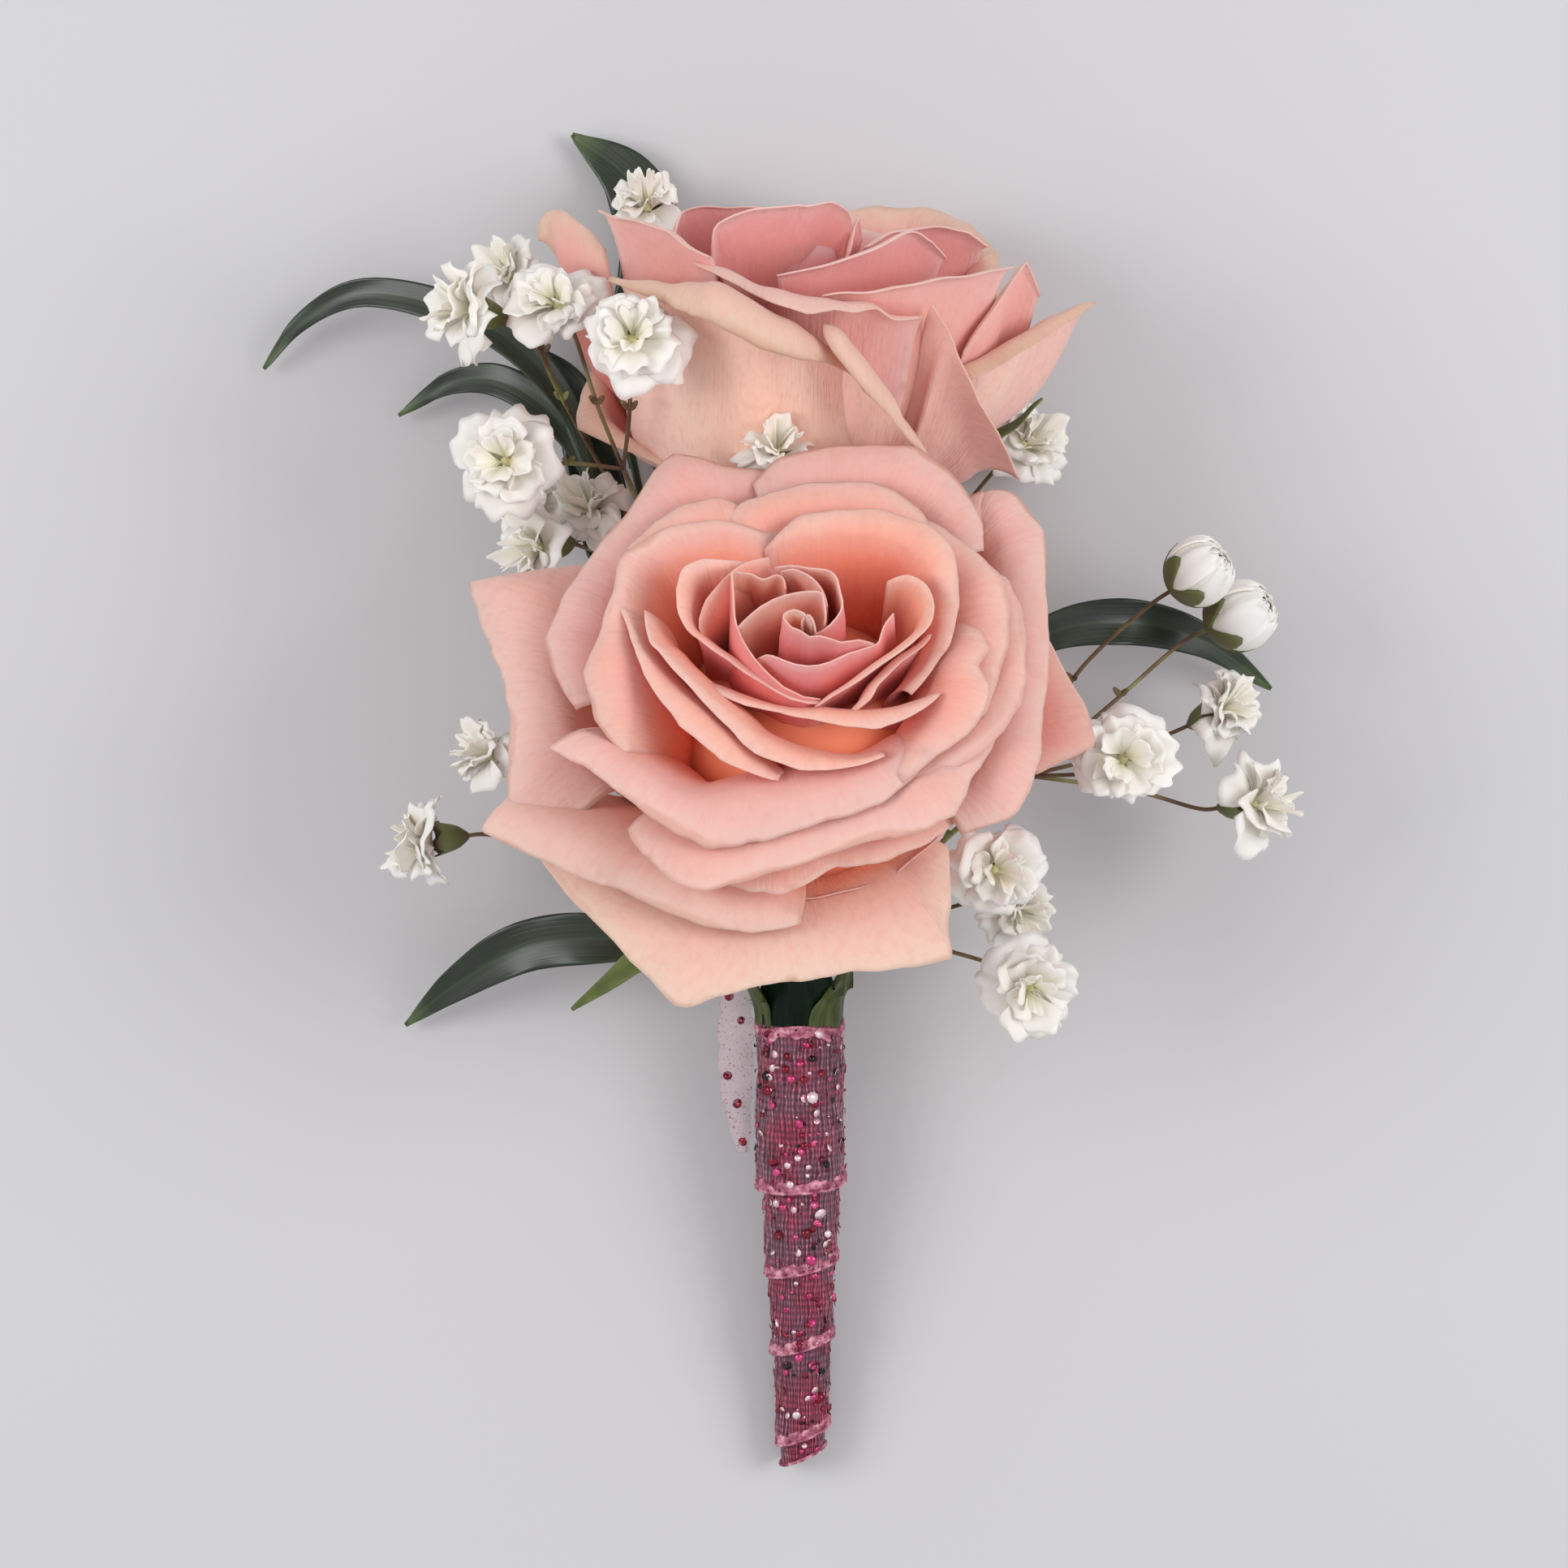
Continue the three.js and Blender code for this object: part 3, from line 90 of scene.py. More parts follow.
# Where each petal folds back and where its rim lies, as points of the picture that the camera sees, in an
# enlargement of it: fold x and y, rim x and y, and how high the fold stands along the rose's axis
FRONT_PETALS = [
    (dict(OUTER, spread=0.9, faded=0.35), [
        (352, 400, 340, 362, 15), (262, 445, 35, 410, 17.4), (232, 530, 85, 555, 17.4),
        (228, 620, 118, 640, 17.2), (240, 720, 128, 730, 16.8), (262, 800, 125, 830, 16),
        (300, 860, 118, 905, 15), (390, 925, 250, 985, 13.6)
    ]),
    (dict(OUTER, belly=0.6, low=0.5, spread=0.9, faded=0.35), [
        (160, 885, 122, 903, 12.8), (150, 912, 62, 980, 13.6), (255, 932, 235, 1072, 14.4),
        (400, 1000, 400, 1130, 14.6), (540, 1080, 548, 1188, 14.4), (650, 1113, 690, 1220, 14),
        (790, 1176, 795, 1190, 13)
    ]),
    (dict(OUTER, roll=50, belly=0.62, low=0.5, faded=0.55), [
        (275, 1020, 192, 1037, 9.6), (400, 1100, 350, 1215, 10.4), (560, 1165, 515, 1385, 11),
        (705, 1195, 712, 1330, 11), (850, 1165, 900, 1306, 10.8), (985, 1112, 1140, 1276, 10.4),
        (1065, 1060, 1137, 1150, 10), (1105, 1010, 1133, 1015, 9.8)
    ]),
    (dict(MIDDLE, lean=25, roll=60, belly=0.8, low=0.3), [
        (600, 1000, 625, 1100, 17), (670, 1000, 690, 1118, 17.2), (765, 990, 765, 1122, 17.4),
        (870, 955, 880, 1062, 17.4), (970, 930, 990, 1048, 17.4), (1060, 900, 1100, 1000, 17.4),
        (1120, 860, 1150, 960, 17.2)
    ]),
    (dict(OUTER, lean=20, roll=40, age=0.6, sharp=0.95), [
        (1300, 835, 1340, 848, 11.6), (1325, 790, 1395, 820, 12), (1335, 745, 1476, 782, 12.2),
        (1335, 690, 1452, 690, 12.2), (1325, 630, 1398, 600, 12), (1310, 560, 1356, 518, 11.6)
    ]),
    (dict(OUTER, lean=25), [
        (1105, 905, 1165, 987, 17.8), (1185, 860, 1292, 940, 18.2), (1232, 760, 1346, 812, 18.6),
        (1252, 670, 1354, 700, 19), (1265, 560, 1368, 560, 19.4), (1268, 450, 1362, 430, 19.8),
        (1265, 360, 1350, 290, 20.2), (1240, 300, 1288, 201, 20.6), (1205, 285, 1213, 197, 20.6),
        (1165, 290, 1170, 215, 20.4)
    ]),
    (dict(OUTER, lean=25), [
        (800, 240, 808, 190, 21.4), (715, 215, 715, 150, 21.9), (620, 215, 620, 143, 22.4),
        (545, 215, 503, 110, 22.2), (490, 275, 400, 240, 22), (425, 345, 302, 370, 21.6),
        (365, 440, 250, 450, 21.2), (330, 530, 205, 530, 20.6), (325, 610, 230, 615, 20),
        (345, 690, 280, 700, 19)
    ]),
    (dict(OUTER, lean=30), [
        (1130, 330, 1215, 335, 22), (1110, 275, 1212, 262, 22.6), (1070, 230, 1165, 175, 23),
        (1000, 190, 1062, 100, 23.4), (930, 175, 960, 90, 23.6), (850, 180, 850, 95, 23.4),
        (760, 200, 745, 122, 23.2), (705, 222, 684, 180, 22.8)
    ]),
    (dict(MIDDLE, roll=80), [
        (1075, 320, 1095, 285, 24.6), (1030, 290, 1060, 232, 25), (950, 255, 962, 172, 25.4),
        (850, 255, 835, 180, 25.4), (770, 270, 725, 200, 25.2), (705, 290, 652, 230, 24.9),
        (650, 320, 600, 270, 24.4)
    ]),
    (dict(MIDDLE, roll=80), [
        (668, 300, 664, 235, 24.4), (615, 300, 600, 212, 24.6), (545, 315, 520, 235, 24.6),
        (480, 350, 452, 272, 24.2), (430, 400, 400, 330, 23.6)
    ]),
    (dict(MIDDLE, belly=0.7, low=0.4, age=0.75), [
        (775, 300, 780, 284, 24.4), (705, 308, 712, 292, 25.3), (600, 288, 600, 264, 26),
        (512, 305, 502, 278, 26), (452, 335, 435, 305, 25.8), (412, 378, 384, 352, 25.4),
        (396, 430, 368, 432, 25), (398, 505, 335, 510, 24.6), (412, 590, 300, 610, 24),
        (412, 700, 318, 715, 23), (408, 775, 362, 772, 22.2), (405, 795, 403, 798, 21.8)
    ]),
    (dict(MIDDLE, lean=50, age=0.4), [
        (1035, 650, 1050, 665, 23.2), (1085, 600, 1112, 590, 24), (1105, 545, 1140, 545, 24.8),
        (1112, 480, 1157, 482, 25.4), (1108, 420, 1160, 430, 26), (1085, 365, 1150, 350, 26.4),
        (1040, 325, 1095, 278, 26.6), (960, 300, 985, 240, 26.8), (880, 295, 885, 238, 26.8),
        (800, 300, 795, 256, 26.6), (750, 318, 738, 302, 26), (722, 340, 716, 334, 24.8)
    ]),
    (dict(MIDDLE, roll=75), [
        (1110, 700, 1215, 720, 21.6), (1135, 640, 1243, 650, 22), (1145, 570, 1268, 560, 22.6),
        (1150, 510, 1279, 480, 23.2), (1150, 450, 1266, 410, 23.8), (1140, 400, 1220, 350, 24.2),
        (1110, 350, 1140, 298, 24.6), (1075, 320, 1090, 262, 24.6), (1040, 300, 1060, 262, 24.4)
    ]),
    (dict(MIDDLE, roll=80), [
        (985, 845, 1030, 868, 22), (1035, 802, 1112, 802, 22.4), (1075, 752, 1182, 757, 22.8),
        (1105, 702, 1223, 702, 23.2), (1122, 648, 1231, 645, 23.6), (1130, 602, 1203, 600, 23.8),
        (1138, 568, 1230, 560, 23.8), (1150, 535, 1215, 522, 23.8), (1160, 508, 1168, 500, 23.4)
    ]),
    (dict(MIDDLE, roll=75), [
        (970, 870, 980, 918, 20.8), (1030, 830, 1060, 892, 21), (1100, 780, 1160, 832, 21),
        (1160, 730, 1240, 772, 21.2), (1200, 670, 1300, 692, 21.2), (1210, 620, 1308, 640, 21.2),
        (1215, 560, 1313, 540, 21.4), (1215, 490, 1300, 450, 21.8), (1205, 450, 1268, 400, 22),
        (1195, 420, 1240, 385, 22)
    ]),
    (dict(MIDDLE, lean=30, roll=75, belly=0.62, low=0.45, age=0.9, faded=0.1), [
        (268, 703, 238, 822, 21.4), (330, 745, 330, 880, 22), (400, 802, 395, 910, 22.3),
        (500, 866, 488, 968, 22.4), (580, 890, 585, 1020, 22.3), (700, 872, 700, 1002, 22),
        (830, 852, 845, 962, 21.8), (950, 826, 985, 912, 21.8), (1040, 790, 1078, 830, 22.2),
        (1100, 760, 1112, 800, 22.4)
    ]),
    (dict(MIDDLE, lean=25, roll=60, belly=0.75, low=0.35, age=0.9, faded=0.1), [
        (432, 935, 397, 975, 18.6), (480, 940, 442, 1040, 19.6), (578, 965, 560, 1122, 20.4),
        (700, 948, 705, 1080, 20.4), (885, 900, 905, 1015, 20.4), (1010, 850, 1060, 982, 20.6),
        (1075, 800, 1125, 970, 20.8), (1120, 745, 1165, 900, 20.8), (1155, 680, 1240, 785, 20.6),
        (1185, 610, 1303, 695, 20.4), (1200, 540, 1312, 610, 20.2)
    ]),
    (dict(INNER, lean=40), [
        (375, 442, 368, 430, 24.6), (405, 485, 392, 495, 25.2), (432, 555, 415, 560, 25.4),
        (472, 612, 445, 635, 25.2), (560, 690, 520, 735, 24.6), (650, 770, 610, 815, 23.8),
        (762, 856, 745, 862, 22.4)
    ]),
    (dict(INNER, lean=40), [
        (442, 480, 440, 472, 25.8), (458, 540, 450, 545, 26.2), (485, 563, 475, 572, 26.1),
        (562, 640, 548, 655, 25.4), (645, 715, 625, 735, 24.8), (705, 760, 690, 800, 24.2),
        (800, 802, 800, 838, 23.6), (900, 815, 905, 832, 23.2), (985, 802, 990, 806, 22.8)
    ]),
    (dict(INNER, lean=50), [
        (523, 610, 520, 615, 23.6), (600, 645, 590, 655, 24), (680, 672, 672, 690, 24.3),
        (745, 695, 745, 705, 24.4), (820, 703, 825, 722, 24.5), (890, 706, 900, 738, 24.5),
        (960, 700, 975, 742, 24.5), (1040, 682, 1055, 712, 24.4), (1113, 660, 1116, 663, 24)
    ]),
]

# The heart's petals hardly fold, so these have one point each: x, y, height and the length of the lip
FRONT_HEART = [
    (INNER, [
        (925, 702, 27.2, 0.6), (900, 702, 27.6, 0.8), (873, 706, 27.4, 1.3), (857, 718, 27.2, 1.6),
        (851, 738, 26.8, 1.6), (850, 759, 26.4, 1.3), (858, 778, 26, 1), (882, 796, 25.4, 1),
        (917, 820, 24.8, 1.1), (956, 845, 24.4, 1), (1011, 865, 23.9, 0.5)
    ]),
    (dict(INNER, roll=20), [
        (948, 692, 28.2, 0.4), (925, 699, 28.4, 0.6), (908, 709, 28.3, 0.6), (890, 726, 28, 0.6),
        (874, 746, 27.2, 0.6), (864, 772, 26, 0.4), (870, 792, 25, 0.3)
    ]),
    (dict(INNER, lean=70), [
        (1046, 878, 23.4, 0.5), (1064, 860, 24.4, 0.9), (1075, 840, 25.2, 1), (1101, 815, 25.8, 1),
        (1130, 796, 26.2, 0.8), (1143, 784, 26, 0.4)
    ]),
    (dict(INNER, roll=35), [
        (1004, 870, 23.8, 0.5), (1028, 853, 24.8, 0.9), (1067, 827, 26, 1.3), (1108, 797, 26.8, 1.6),
        (1134, 771, 27.2, 1.5), (1140, 747, 27.4, 1), (1131, 725, 27.4, 0.8), (1113, 716, 27.2, 0.6),
        (1092, 722, 26.6, 0.4)
    ]),
    (HEART, [
        (968, 727, 28.5, 0.3), (965, 715, 28.8, 0.4), (956, 711, 28.9, 0.4), (941, 716, 28.7, 0.4),
        (926, 709, 28.8, 0.4), (914, 708, 29.2, 0.4), (902, 706, 29.8, 0.4), (903, 724, 29.2, 0.5),
        (904, 742, 28.7, 0.6), (907, 771, 28, 0.6), (914, 788, 27.4, 0.6), (931, 814, 26.6, 0.6),
        (956, 841, 25.6, 0.5), (1011, 863, 24.2, 0.3)
    ]),
    (HEART, [
        (932, 814, 26.2, 0.2), (948, 808, 27.3, 0.4), (970, 817, 27.4, 0.5), (1004, 823, 27.2, 0.5),
        (1038, 811, 27.2, 0.6), (1064, 802, 27.2, 0.5), (1081, 795, 27.3, 0.4), (1085, 783, 27.6, 0.3),
        (1090, 771, 27.8, 0.3), (1101, 757, 28, 0.3)
    ]),
    (HEART, [
        (1000, 784, 28.2, 0.2), (1014, 778, 28.7, 0.3), (1032, 762, 29.2, 0.4), (1038, 748, 29.5, 0.4),
        (1034, 730, 29.6, 0.5), (1030, 713, 29.5, 0.5), (1020, 705, 29.3, 0.5), (998, 703, 29.1, 0.5),
        (975, 699, 28.9, 0.4), (955, 701, 28.5, 0.3)
    ]),
    (HEART, [
        (1019, 748, 29.2, 0.2), (1013, 730, 29.5, 0.4), (998, 713, 29.4, 0.5), (978, 704, 29.2, 0.5),
        (962, 706, 28.6, 0.3)
    ]),
    (HEART, [
        (1015, 772, 28.8, 0.3), (1017, 759, 29.3, 0.4), (1015, 744, 29.8, 0.5), (1012, 732, 30.1, 0.5),
        (990, 732, 30, 0.6), (966, 738, 29.6, 0.7), (930, 757, 28.8, 0.7), (909, 776, 27.8, 0.5)
    ]),
    (HEART, [
        (1001, 771, 29.6, 0.2), (990, 757, 30.2, 0.3), (977, 753, 30.4, 0.3), (965, 760, 30.2, 0.3),
        (971, 770, 29.8, 0.3), (988, 779, 29.5, 0.4), (1006, 786, 29, 0.4), (1033, 793, 28.4, 0.4),
        (1057, 790, 28.2, 0.4), (1077, 795, 27.4, 0.2)
    ]),
    (HEART, [
        (1005, 778, 29.2, 0.1), (1003, 768, 29.8, 0.2), (996, 758, 30.2, 0.2), (988, 766, 29.6, 0.2),
        (989, 775, 29, 0.1)
    ]),
]


def guard_petals(radius, height, starts):
    """Broad petals that hug the bloom's underside, so that no gap shows its core."""
    stations = [(0, -0.4, -1.4, 0.8), (28, 0, 0, 1), (56, 0.2, 0.4, 1), (84, 0, 0, 1), (112, -0.4, -1.4, 0.8)]
    return [dict(OUTER, lean=62, roll=25, belly=1.02, end=1.5, sharp=0.0, crest=[
        [start + turn, radius + out, height + up, lip] for turn, out, up, lip in stations
    ]) for start in starts]


def unit(vectors):
    return vectors / (np.linalg.norm(vectors, axis=-1, keepdims=True) + 1e-12)


def along(values, t):
    """A smooth curve through equally spaced rows of values."""
    values = np.asarray(values, float)
    last = len(values) - 1
    place = np.minimum(t * last, last - 1e-6)
    i = np.floor(place).astype(int)
    f = (place - i)[:, None]
    a, b, c, d = (values[np.clip(i + k, 0, last)] for k in (-1, 0, 1, 2))
    return 0.5 * (2 * b + (c - a) * f + (2 * a - 5 * b + 4 * c - d) * f**2 + (3 * b - a - 3 * c + d) * f**3)


def waves(place, lengths, rng):
    """Irregular waves of the given lengths along a line, between about -1 and 1."""
    total = sum(np.sin(2 * np.pi * place / length + rng.uniform(0, 6.28)) for length in lengths)
    return total / len(lengths)


def round_axis(radius, turn, height):
    """Places round the Z axis: how far from it, at which turn and how high."""
    radius, turn, height = np.broadcast_arrays(radius, turn, height)
    return np.stack([radius * np.cos(turn), radius * np.sin(turn), height], -1)


def crest_points(crest, t):
    azimuth, radius, height = along(crest[:, :3], t).T
    return round_axis(radius, np.radians(azimuth), height), azimuth


def petal_rows(petal, crest, t, lips):
    """Rows of points from inside the bloom up to the crest, then over the rolled lip."""
    top, azimuth = crest_points(crest, t)
    before, _ = crest_points(crest, np.maximum(0, t - CREST_STEP))
    after, _ = crest_points(crest, np.minimum(1, t + CREST_STEP))
    radial = unit(top * np.array([1.0, 1.0, 0.0]))
    chord = after - before
    square = unit(np.stack([chord[:, 1], -chord[:, 0], 0 * t], 1))
    outward = unit(RADIAL_SHARE * radial + (1 - RADIAL_SHARE) * square)
    lean = math.radians(petal["lean"])
    to_crest = outward * math.cos(lean) + Z_AXIS * math.sin(lean)
    middle = (crest[0, 0] + crest[-1, 0]) / 2
    base_turn = np.radians(middle + (azimuth - middle) * petal.get("spread", BASE_SPREAD))
    root = round_axis(BASE_RADIUS, base_turn, 0.0)
    belly = radial * (np.linalg.norm(top[:, :2], axis=1) * petal["belly"])[:, None]
    belly[:, 2] = top[:, 2] * petal["low"]
    below = top - CREST_PULL * top[:, 2:3] * to_crest
    rows = []
    for up in np.linspace(0.2, 1, ROWS_BELOW):
        rows.append(root * (1 - up)**3 + belly * 3 * up * (1 - up)**2
                    + below * 3 * up**2 * (1 - up) + top * up**3)
    for over in np.linspace(0, petal["end"] - 1, ROWS_OVER + 1)[1:]:
        point = top.copy()
        for k in range(LIP_STEPS):
            angle = lean - math.radians(petal["roll"]) * over * (k + 0.5) / LIP_STEPS
            reach = (lips * over / LIP_STEPS)[:, None]
            point = point + reach * (outward * math.cos(angle) + Z_AXIS * math.sin(angle))
        rows.append(point)
    return np.array(rows)


def picture_scale(z):
    return POINTS_PER_MM * (EYE[2] - MEASURED_AT) / (EYE[2] - z)


def in_picture(places):
    """Where the camera sees places given in millimetres, in points of its picture."""
    offset = (places - EYE)[..., :2] * picture_scale(places[..., 2:])
    return PICTURE_MIDDLE + offset * np.array([1.0, -1.0])


def out_of_picture(rose, seen, known, sought):
    """Places in a rose's own axes that the camera sees at these points of its picture.

    Either the height is known and y is sought (1), or y is known and the height is sought (2).
    """
    turn = math.radians(rose["tilt"])
    slope = math.cos(turn) if sought == 1 else math.sin(turn)
    places = np.zeros((len(seen), 3))
    places[:, 2] = MEASURED_AT
    places[:, 3 - sought] = known
    for _ in range(60):
        now = on_rose(places, rose)
        miss = (seen - in_picture(now)) / picture_scale(now[:, 2:])
        places[:, 0] += miss[:, 0]
        places[:, sought] -= 0.8 * miss[:, 1] / slope
    return places


def crest_rows(places, lips):
    turn = np.unwrap(np.arctan2(places[:, 1], places[:, 0]))
    turn += 2 * np.pi * (turn[0] < 0)
    return np.stack([np.degrees(turn), np.hypot(places[:, 0], places[:, 1]), places[:, 2], lips], 1)


def seen_petal(rose, view, style, rows, sought=1):
    """A petal set by its fold alone: x and y in the picture, height or depth, and the length of its lip."""
    rows = np.array(rows, float)
    seen = rows[:, :2] / view["zoom"] + np.array(view["corner"])
    lips = rows[:, 3] * style.get("lips", 1)
    return dict(style, crest=crest_rows(out_of_picture(rose, seen, rows[:, 2], sought), lips))


def folded_petal(rose, view, style, rows, sought=1):
    """A petal set by its fold and its rim in the picture: the lips are grown until each rim is met."""
    rows = np.array(rows, float)
    folds, rims = (rows[:, k:k + 2] / view["zoom"] + np.array(view["corner"]) for k in (0, 2))
    lips = np.linalg.norm(rims - folds, axis=1) / POINTS_PER_MM
    t = np.linspace(0, 1, len(rows))
    moved = folds
    for _ in range(14):
        crest = crest_rows(out_of_picture(rose, moved, rows[:, 4], sought), lips)
        grid = in_picture(on_rose(petal_rows(style, crest, t, lips), rose))
        reach = grid[-1] - grid[ROWS_BELOW - 1]
        length = np.linalg.norm(reach, axis=1, keepdims=True) + 1e-6
        miss = rims - grid[-1]
        along_lip = (miss * reach / length).sum(1, keepdims=True)
        grown = lips * (1 + 0.7 * (along_lip / length)[:, 0])
        lips = np.clip(np.where(length[:, 0] > 3, grown, lips), SHORT_LIP, LONG_LIP)
        step = moved + 0.6 * (miss - along_lip * reach / length) - folds
        size = np.linalg.norm(step, axis=1, keepdims=True) + 1e-6
        moved = folds + step * np.minimum(1, FOLD_FREEDOM / size)
    return dict(style, crest=crest)


def petal_surface(petal, rng):
    """A petal's grid: softly curved, and partly straight between the rim's corners."""
    crest = np.array(petal["crest"], float)
    rough, _ = crest_points(crest, np.linspace(0, 1, 30))
    length = np.linalg.norm(np.diff(rough, axis=0), axis=1).sum()
    t = np.linspace(0, 1, int(np.clip(length / COLUMN_WIDTH, FEWEST_COLUMNS, MOST_COLUMNS)))
    stations = np.linspace(0, 1, len(crest))
    lip_waves = 1 + LIP_UNEVENNESS * waves(t * length, (7.1, 3.9, 2.1), rng)
    lips = np.interp(t, stations, crest[:, 3]) * lip_waves
    soft = petal_rows(petal, crest, t, lips)
    corners = petal_rows(petal, crest, stations, crest[:, 3])
    straight = np.stack([[np.interp(t, stations, row[:, k]) for row in corners] for k in range(3)], -1)
    sharp = np.concatenate([0.5 + np.zeros(ROWS_BELOW), np.linspace(0.5, 1, ROWS_OVER)]) * petal["sharp"]
    sharp = sharp[:, None, None]
    return soft * (1 - sharp) + straight * sharp, t * length


def rim_distance(grid):
    """How far each point lies from the petal's free edges, measured on the petal."""
    risen = np.linalg.norm(np.diff(grid, axis=0), axis=2).cumsum(axis=0)
    risen = np.vstack([np.zeros((1, grid.shape[1])), risen])
    crossed = np.linalg.norm(np.diff(grid, axis=1), axis=2).cumsum(axis=1)
    crossed = np.hstack([np.zeros((grid.shape[0], 1)), crossed])
    sides = np.minimum(crossed, crossed[:, -1:] - crossed)
    return np.minimum(risen[-1:] - risen, sides), risen


def face_normals(grid):
    return unit(np.cross(np.gradient(grid, axis=1), np.gradient(grid, axis=0)))


def blade(grid, thickness, finish=0, **values):
    """A closed thin blade: the grid's surface, thickened evenly to both sides, with closed edges."""
    rows, columns = grid.shape[:2]
    half = face_normals(grid) * (np.broadcast_to(thickness, (rows, columns))[..., None] / 2)
    points = np.concatenate([(grid + half).reshape(-1, 3), (grid - half).reshape(-1, 3)])
    number = np.arange(rows * columns).reshape(rows, columns)
    corners = [number[:-1, :-1], number[:-1, 1:], number[1:, 1:], number[1:, :-1]]
    front = np.stack([c.ravel() for c in corners], 1)
    back = front[:, ::-1] + rows * columns
    ring = np.concatenate([number[0], number[1:, -1], number[-1, -2::-1], number[-2:0:-1, 0]])
    following = np.roll(ring, -1)
    edge = np.stack([following, ring, ring + rows * columns, following + rows * columns], 1)
    both = {key: np.concatenate([np.broadcast_to(v, (rows, columns) + np.shape(v)[2:]).reshape(
        rows * columns, *np.shape(v)[2:])] * 2) for key, v in values.items()}
    both["outside"] = np.repeat([1.0, 0.0], rows * columns)
    return dict(points=points, faces=np.concatenate([front, back, edge]).tolist(), finish=finish, values=both)


def ring_body(rings, closed=False, finish=0, **values):
    """A closed body from rings of points: ended by two caps, or joined end to end."""
    rows, sides = rings.shape[:2]
    number = np.arange(rows * sides).reshape(rows, sides)
    upper = np.roll(number, -1, axis=0) if closed else number[1:]
    lower = number if closed else number[:-1]
    quads = np.stack([lower, np.roll(lower, -1, axis=1), np.roll(upper, -1, axis=1), upper], 2).reshape(-1, 4)
    faces = quads.tolist()
    if not closed:
        faces += [number[0][::-1].tolist(), number[-1].tolist()]
    flat = {key: np.broadcast_to(v, (rows, sides) + np.shape(v)[2:]).reshape(rows * sides, *np.shape(v)[2:])
            for key, v in values.items()}
    return dict(points=rings.reshape(-1, 3), faces=faces, finish=finish, values=flat)


def make_piece(name, parts, finishes, nodes):
    """One mesh object from its parts, which takes the place of the CAD nodes named."""
    mesh = bpy.data.meshes.new(name)
    points = np.concatenate([part["points"] for part in parts])
    faces = []
    indices = []
    start = 0
    for part in parts:
        faces += [[corner + start for corner in face] for face in part["faces"]]
        indices += [part["finish"]] * len(part["faces"])
        start += len(part["points"])
    mesh.from_pydata(((points + TO_ORIGIN) * MM).tolist(), [], faces)
    keys = {key: np.shape(v)[1:] for part in parts for key, v in part["values"].items()}
    for key, shape in keys.items():
        rows = [part["values"].get(key, np.zeros((len(part["points"]),) + shape)) for part in parts]
        layer = mesh.attributes.new(key, "FLOAT_VECTOR" if shape else "FLOAT", "POINT")
        numbers = np.concatenate(rows).astype(np.float32).ravel()
        layer.data.foreach_set("vector" if shape else "value", numbers)
    mesh.polygons.foreach_set("use_smooth", [True] * len(mesh.polygons))
    for finish in finishes:
        mesh.materials.append(finish)
    mesh.polygons.foreach_set("material_index", indices)
    mesh.update()
    piece = bpy.data.objects.new(name, mesh)
    bpy.context.collection.objects.link(piece)
    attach(piece, "root")
    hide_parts(*nodes)
    return piece


def on_rose(points, rose):
    """From a rose's own axis, +Z through its heart, to where it lies in the boutonniere."""
    turn = math.radians(rose["tilt"])
    x, y, z = np.moveaxis(np.asarray(points, float), -1, 0)
    cos, sin = math.cos(turn), math.sin(turn)
    leaned = np.stack([x, y * cos + z * sin, z * cos - y * sin], -1)
    return leaned + np.array(rose["base"])


def smooth_step(x):
    x = np.clip(x, 0, 1)
    return x * x * (3 - 2 * x)


def petal_part(petal, number, rose, rng, floor=None):
    """One petal in place, waved along its rim, thin at the edge and thicker towards the root."""
    grid, across = petal_surface(petal, rng)
    _, risen = rim_distance(grid)
    share = risen / risen[-1:]
    ruffled = smooth_step((share - RUFFLED_FROM) / (1 - RUFFLED_FROM))
    wave = waves(across, (12.3, 7.1, 4.2), rng)[None, :] * petal["ruffle"] * ruffled
    swell = waves(across, (13.0, 7.7), rng)[None, :] * SWELL * np.sin(np.pi * share)
    grid = grid + face_normals(grid) * (wave + swell)[..., None]
    rim, risen = rim_distance(grid)
    grid = on_rose(grid, rose)
    if floor is not None:
        give = 0.35
        grid[..., 2] = floor + give * np.logaddexp(0, (grid[..., 2] - floor) / give)
    thickness = RIM_THICKNESS + (ROOT_THICKNESS - RIM_THICKNESS) * smooth_step(rim / THIN_BORDER)
    grain = np.stack([np.broadcast_to(across, rim.shape), risen, 0 * rim + number * 9.7], -1)
    deep = np.clip((risen[ROWS_BELOW - 1] - risen) / HOLLOW_REACH, 0, 1)
    return blade(grid, thickness, rim=np.minimum(rim / RIM_REACH, 1), deep=deep, grain=grain,
                 age=petal["age"] + 0 * rim, tint=rng.uniform(0, 1) * petal.get("tint", 1) + 0 * rim,
                 faded=petal.get("faded", 0) + 0 * rim)


def turned_rings(profile, sides, rows):
    """Rings of a shape turned on the Z axis, smooth through the profile's radii and heights."""
    radius, height = along(profile, np.linspace(0, 1, rows)).T
    angle = np.linspace(0, 2 * np.pi, sides, endpoint=False)
    return round_axis(np.maximum(radius, 0.02)[:, None], angle, height[:, None])


def add_node(tree, kind, wires=None, **settings):
    made = tree.nodes.new(kind)
    for key, value in settings.items():
        setattr(made, key, value)
    for key, value in (wires or {}).items():
        if isinstance(value, bpy.types.NodeSocket):
            tree.links.new(value, made.inputs[key])
        else:
            made.inputs[key].default_value = value
    return made


def mesh_value(tree, name, output="Fac"):
    node = add_node(tree, "ShaderNodeAttribute", attribute_type="GEOMETRY", attribute_name=name)
    return node.outputs[output]


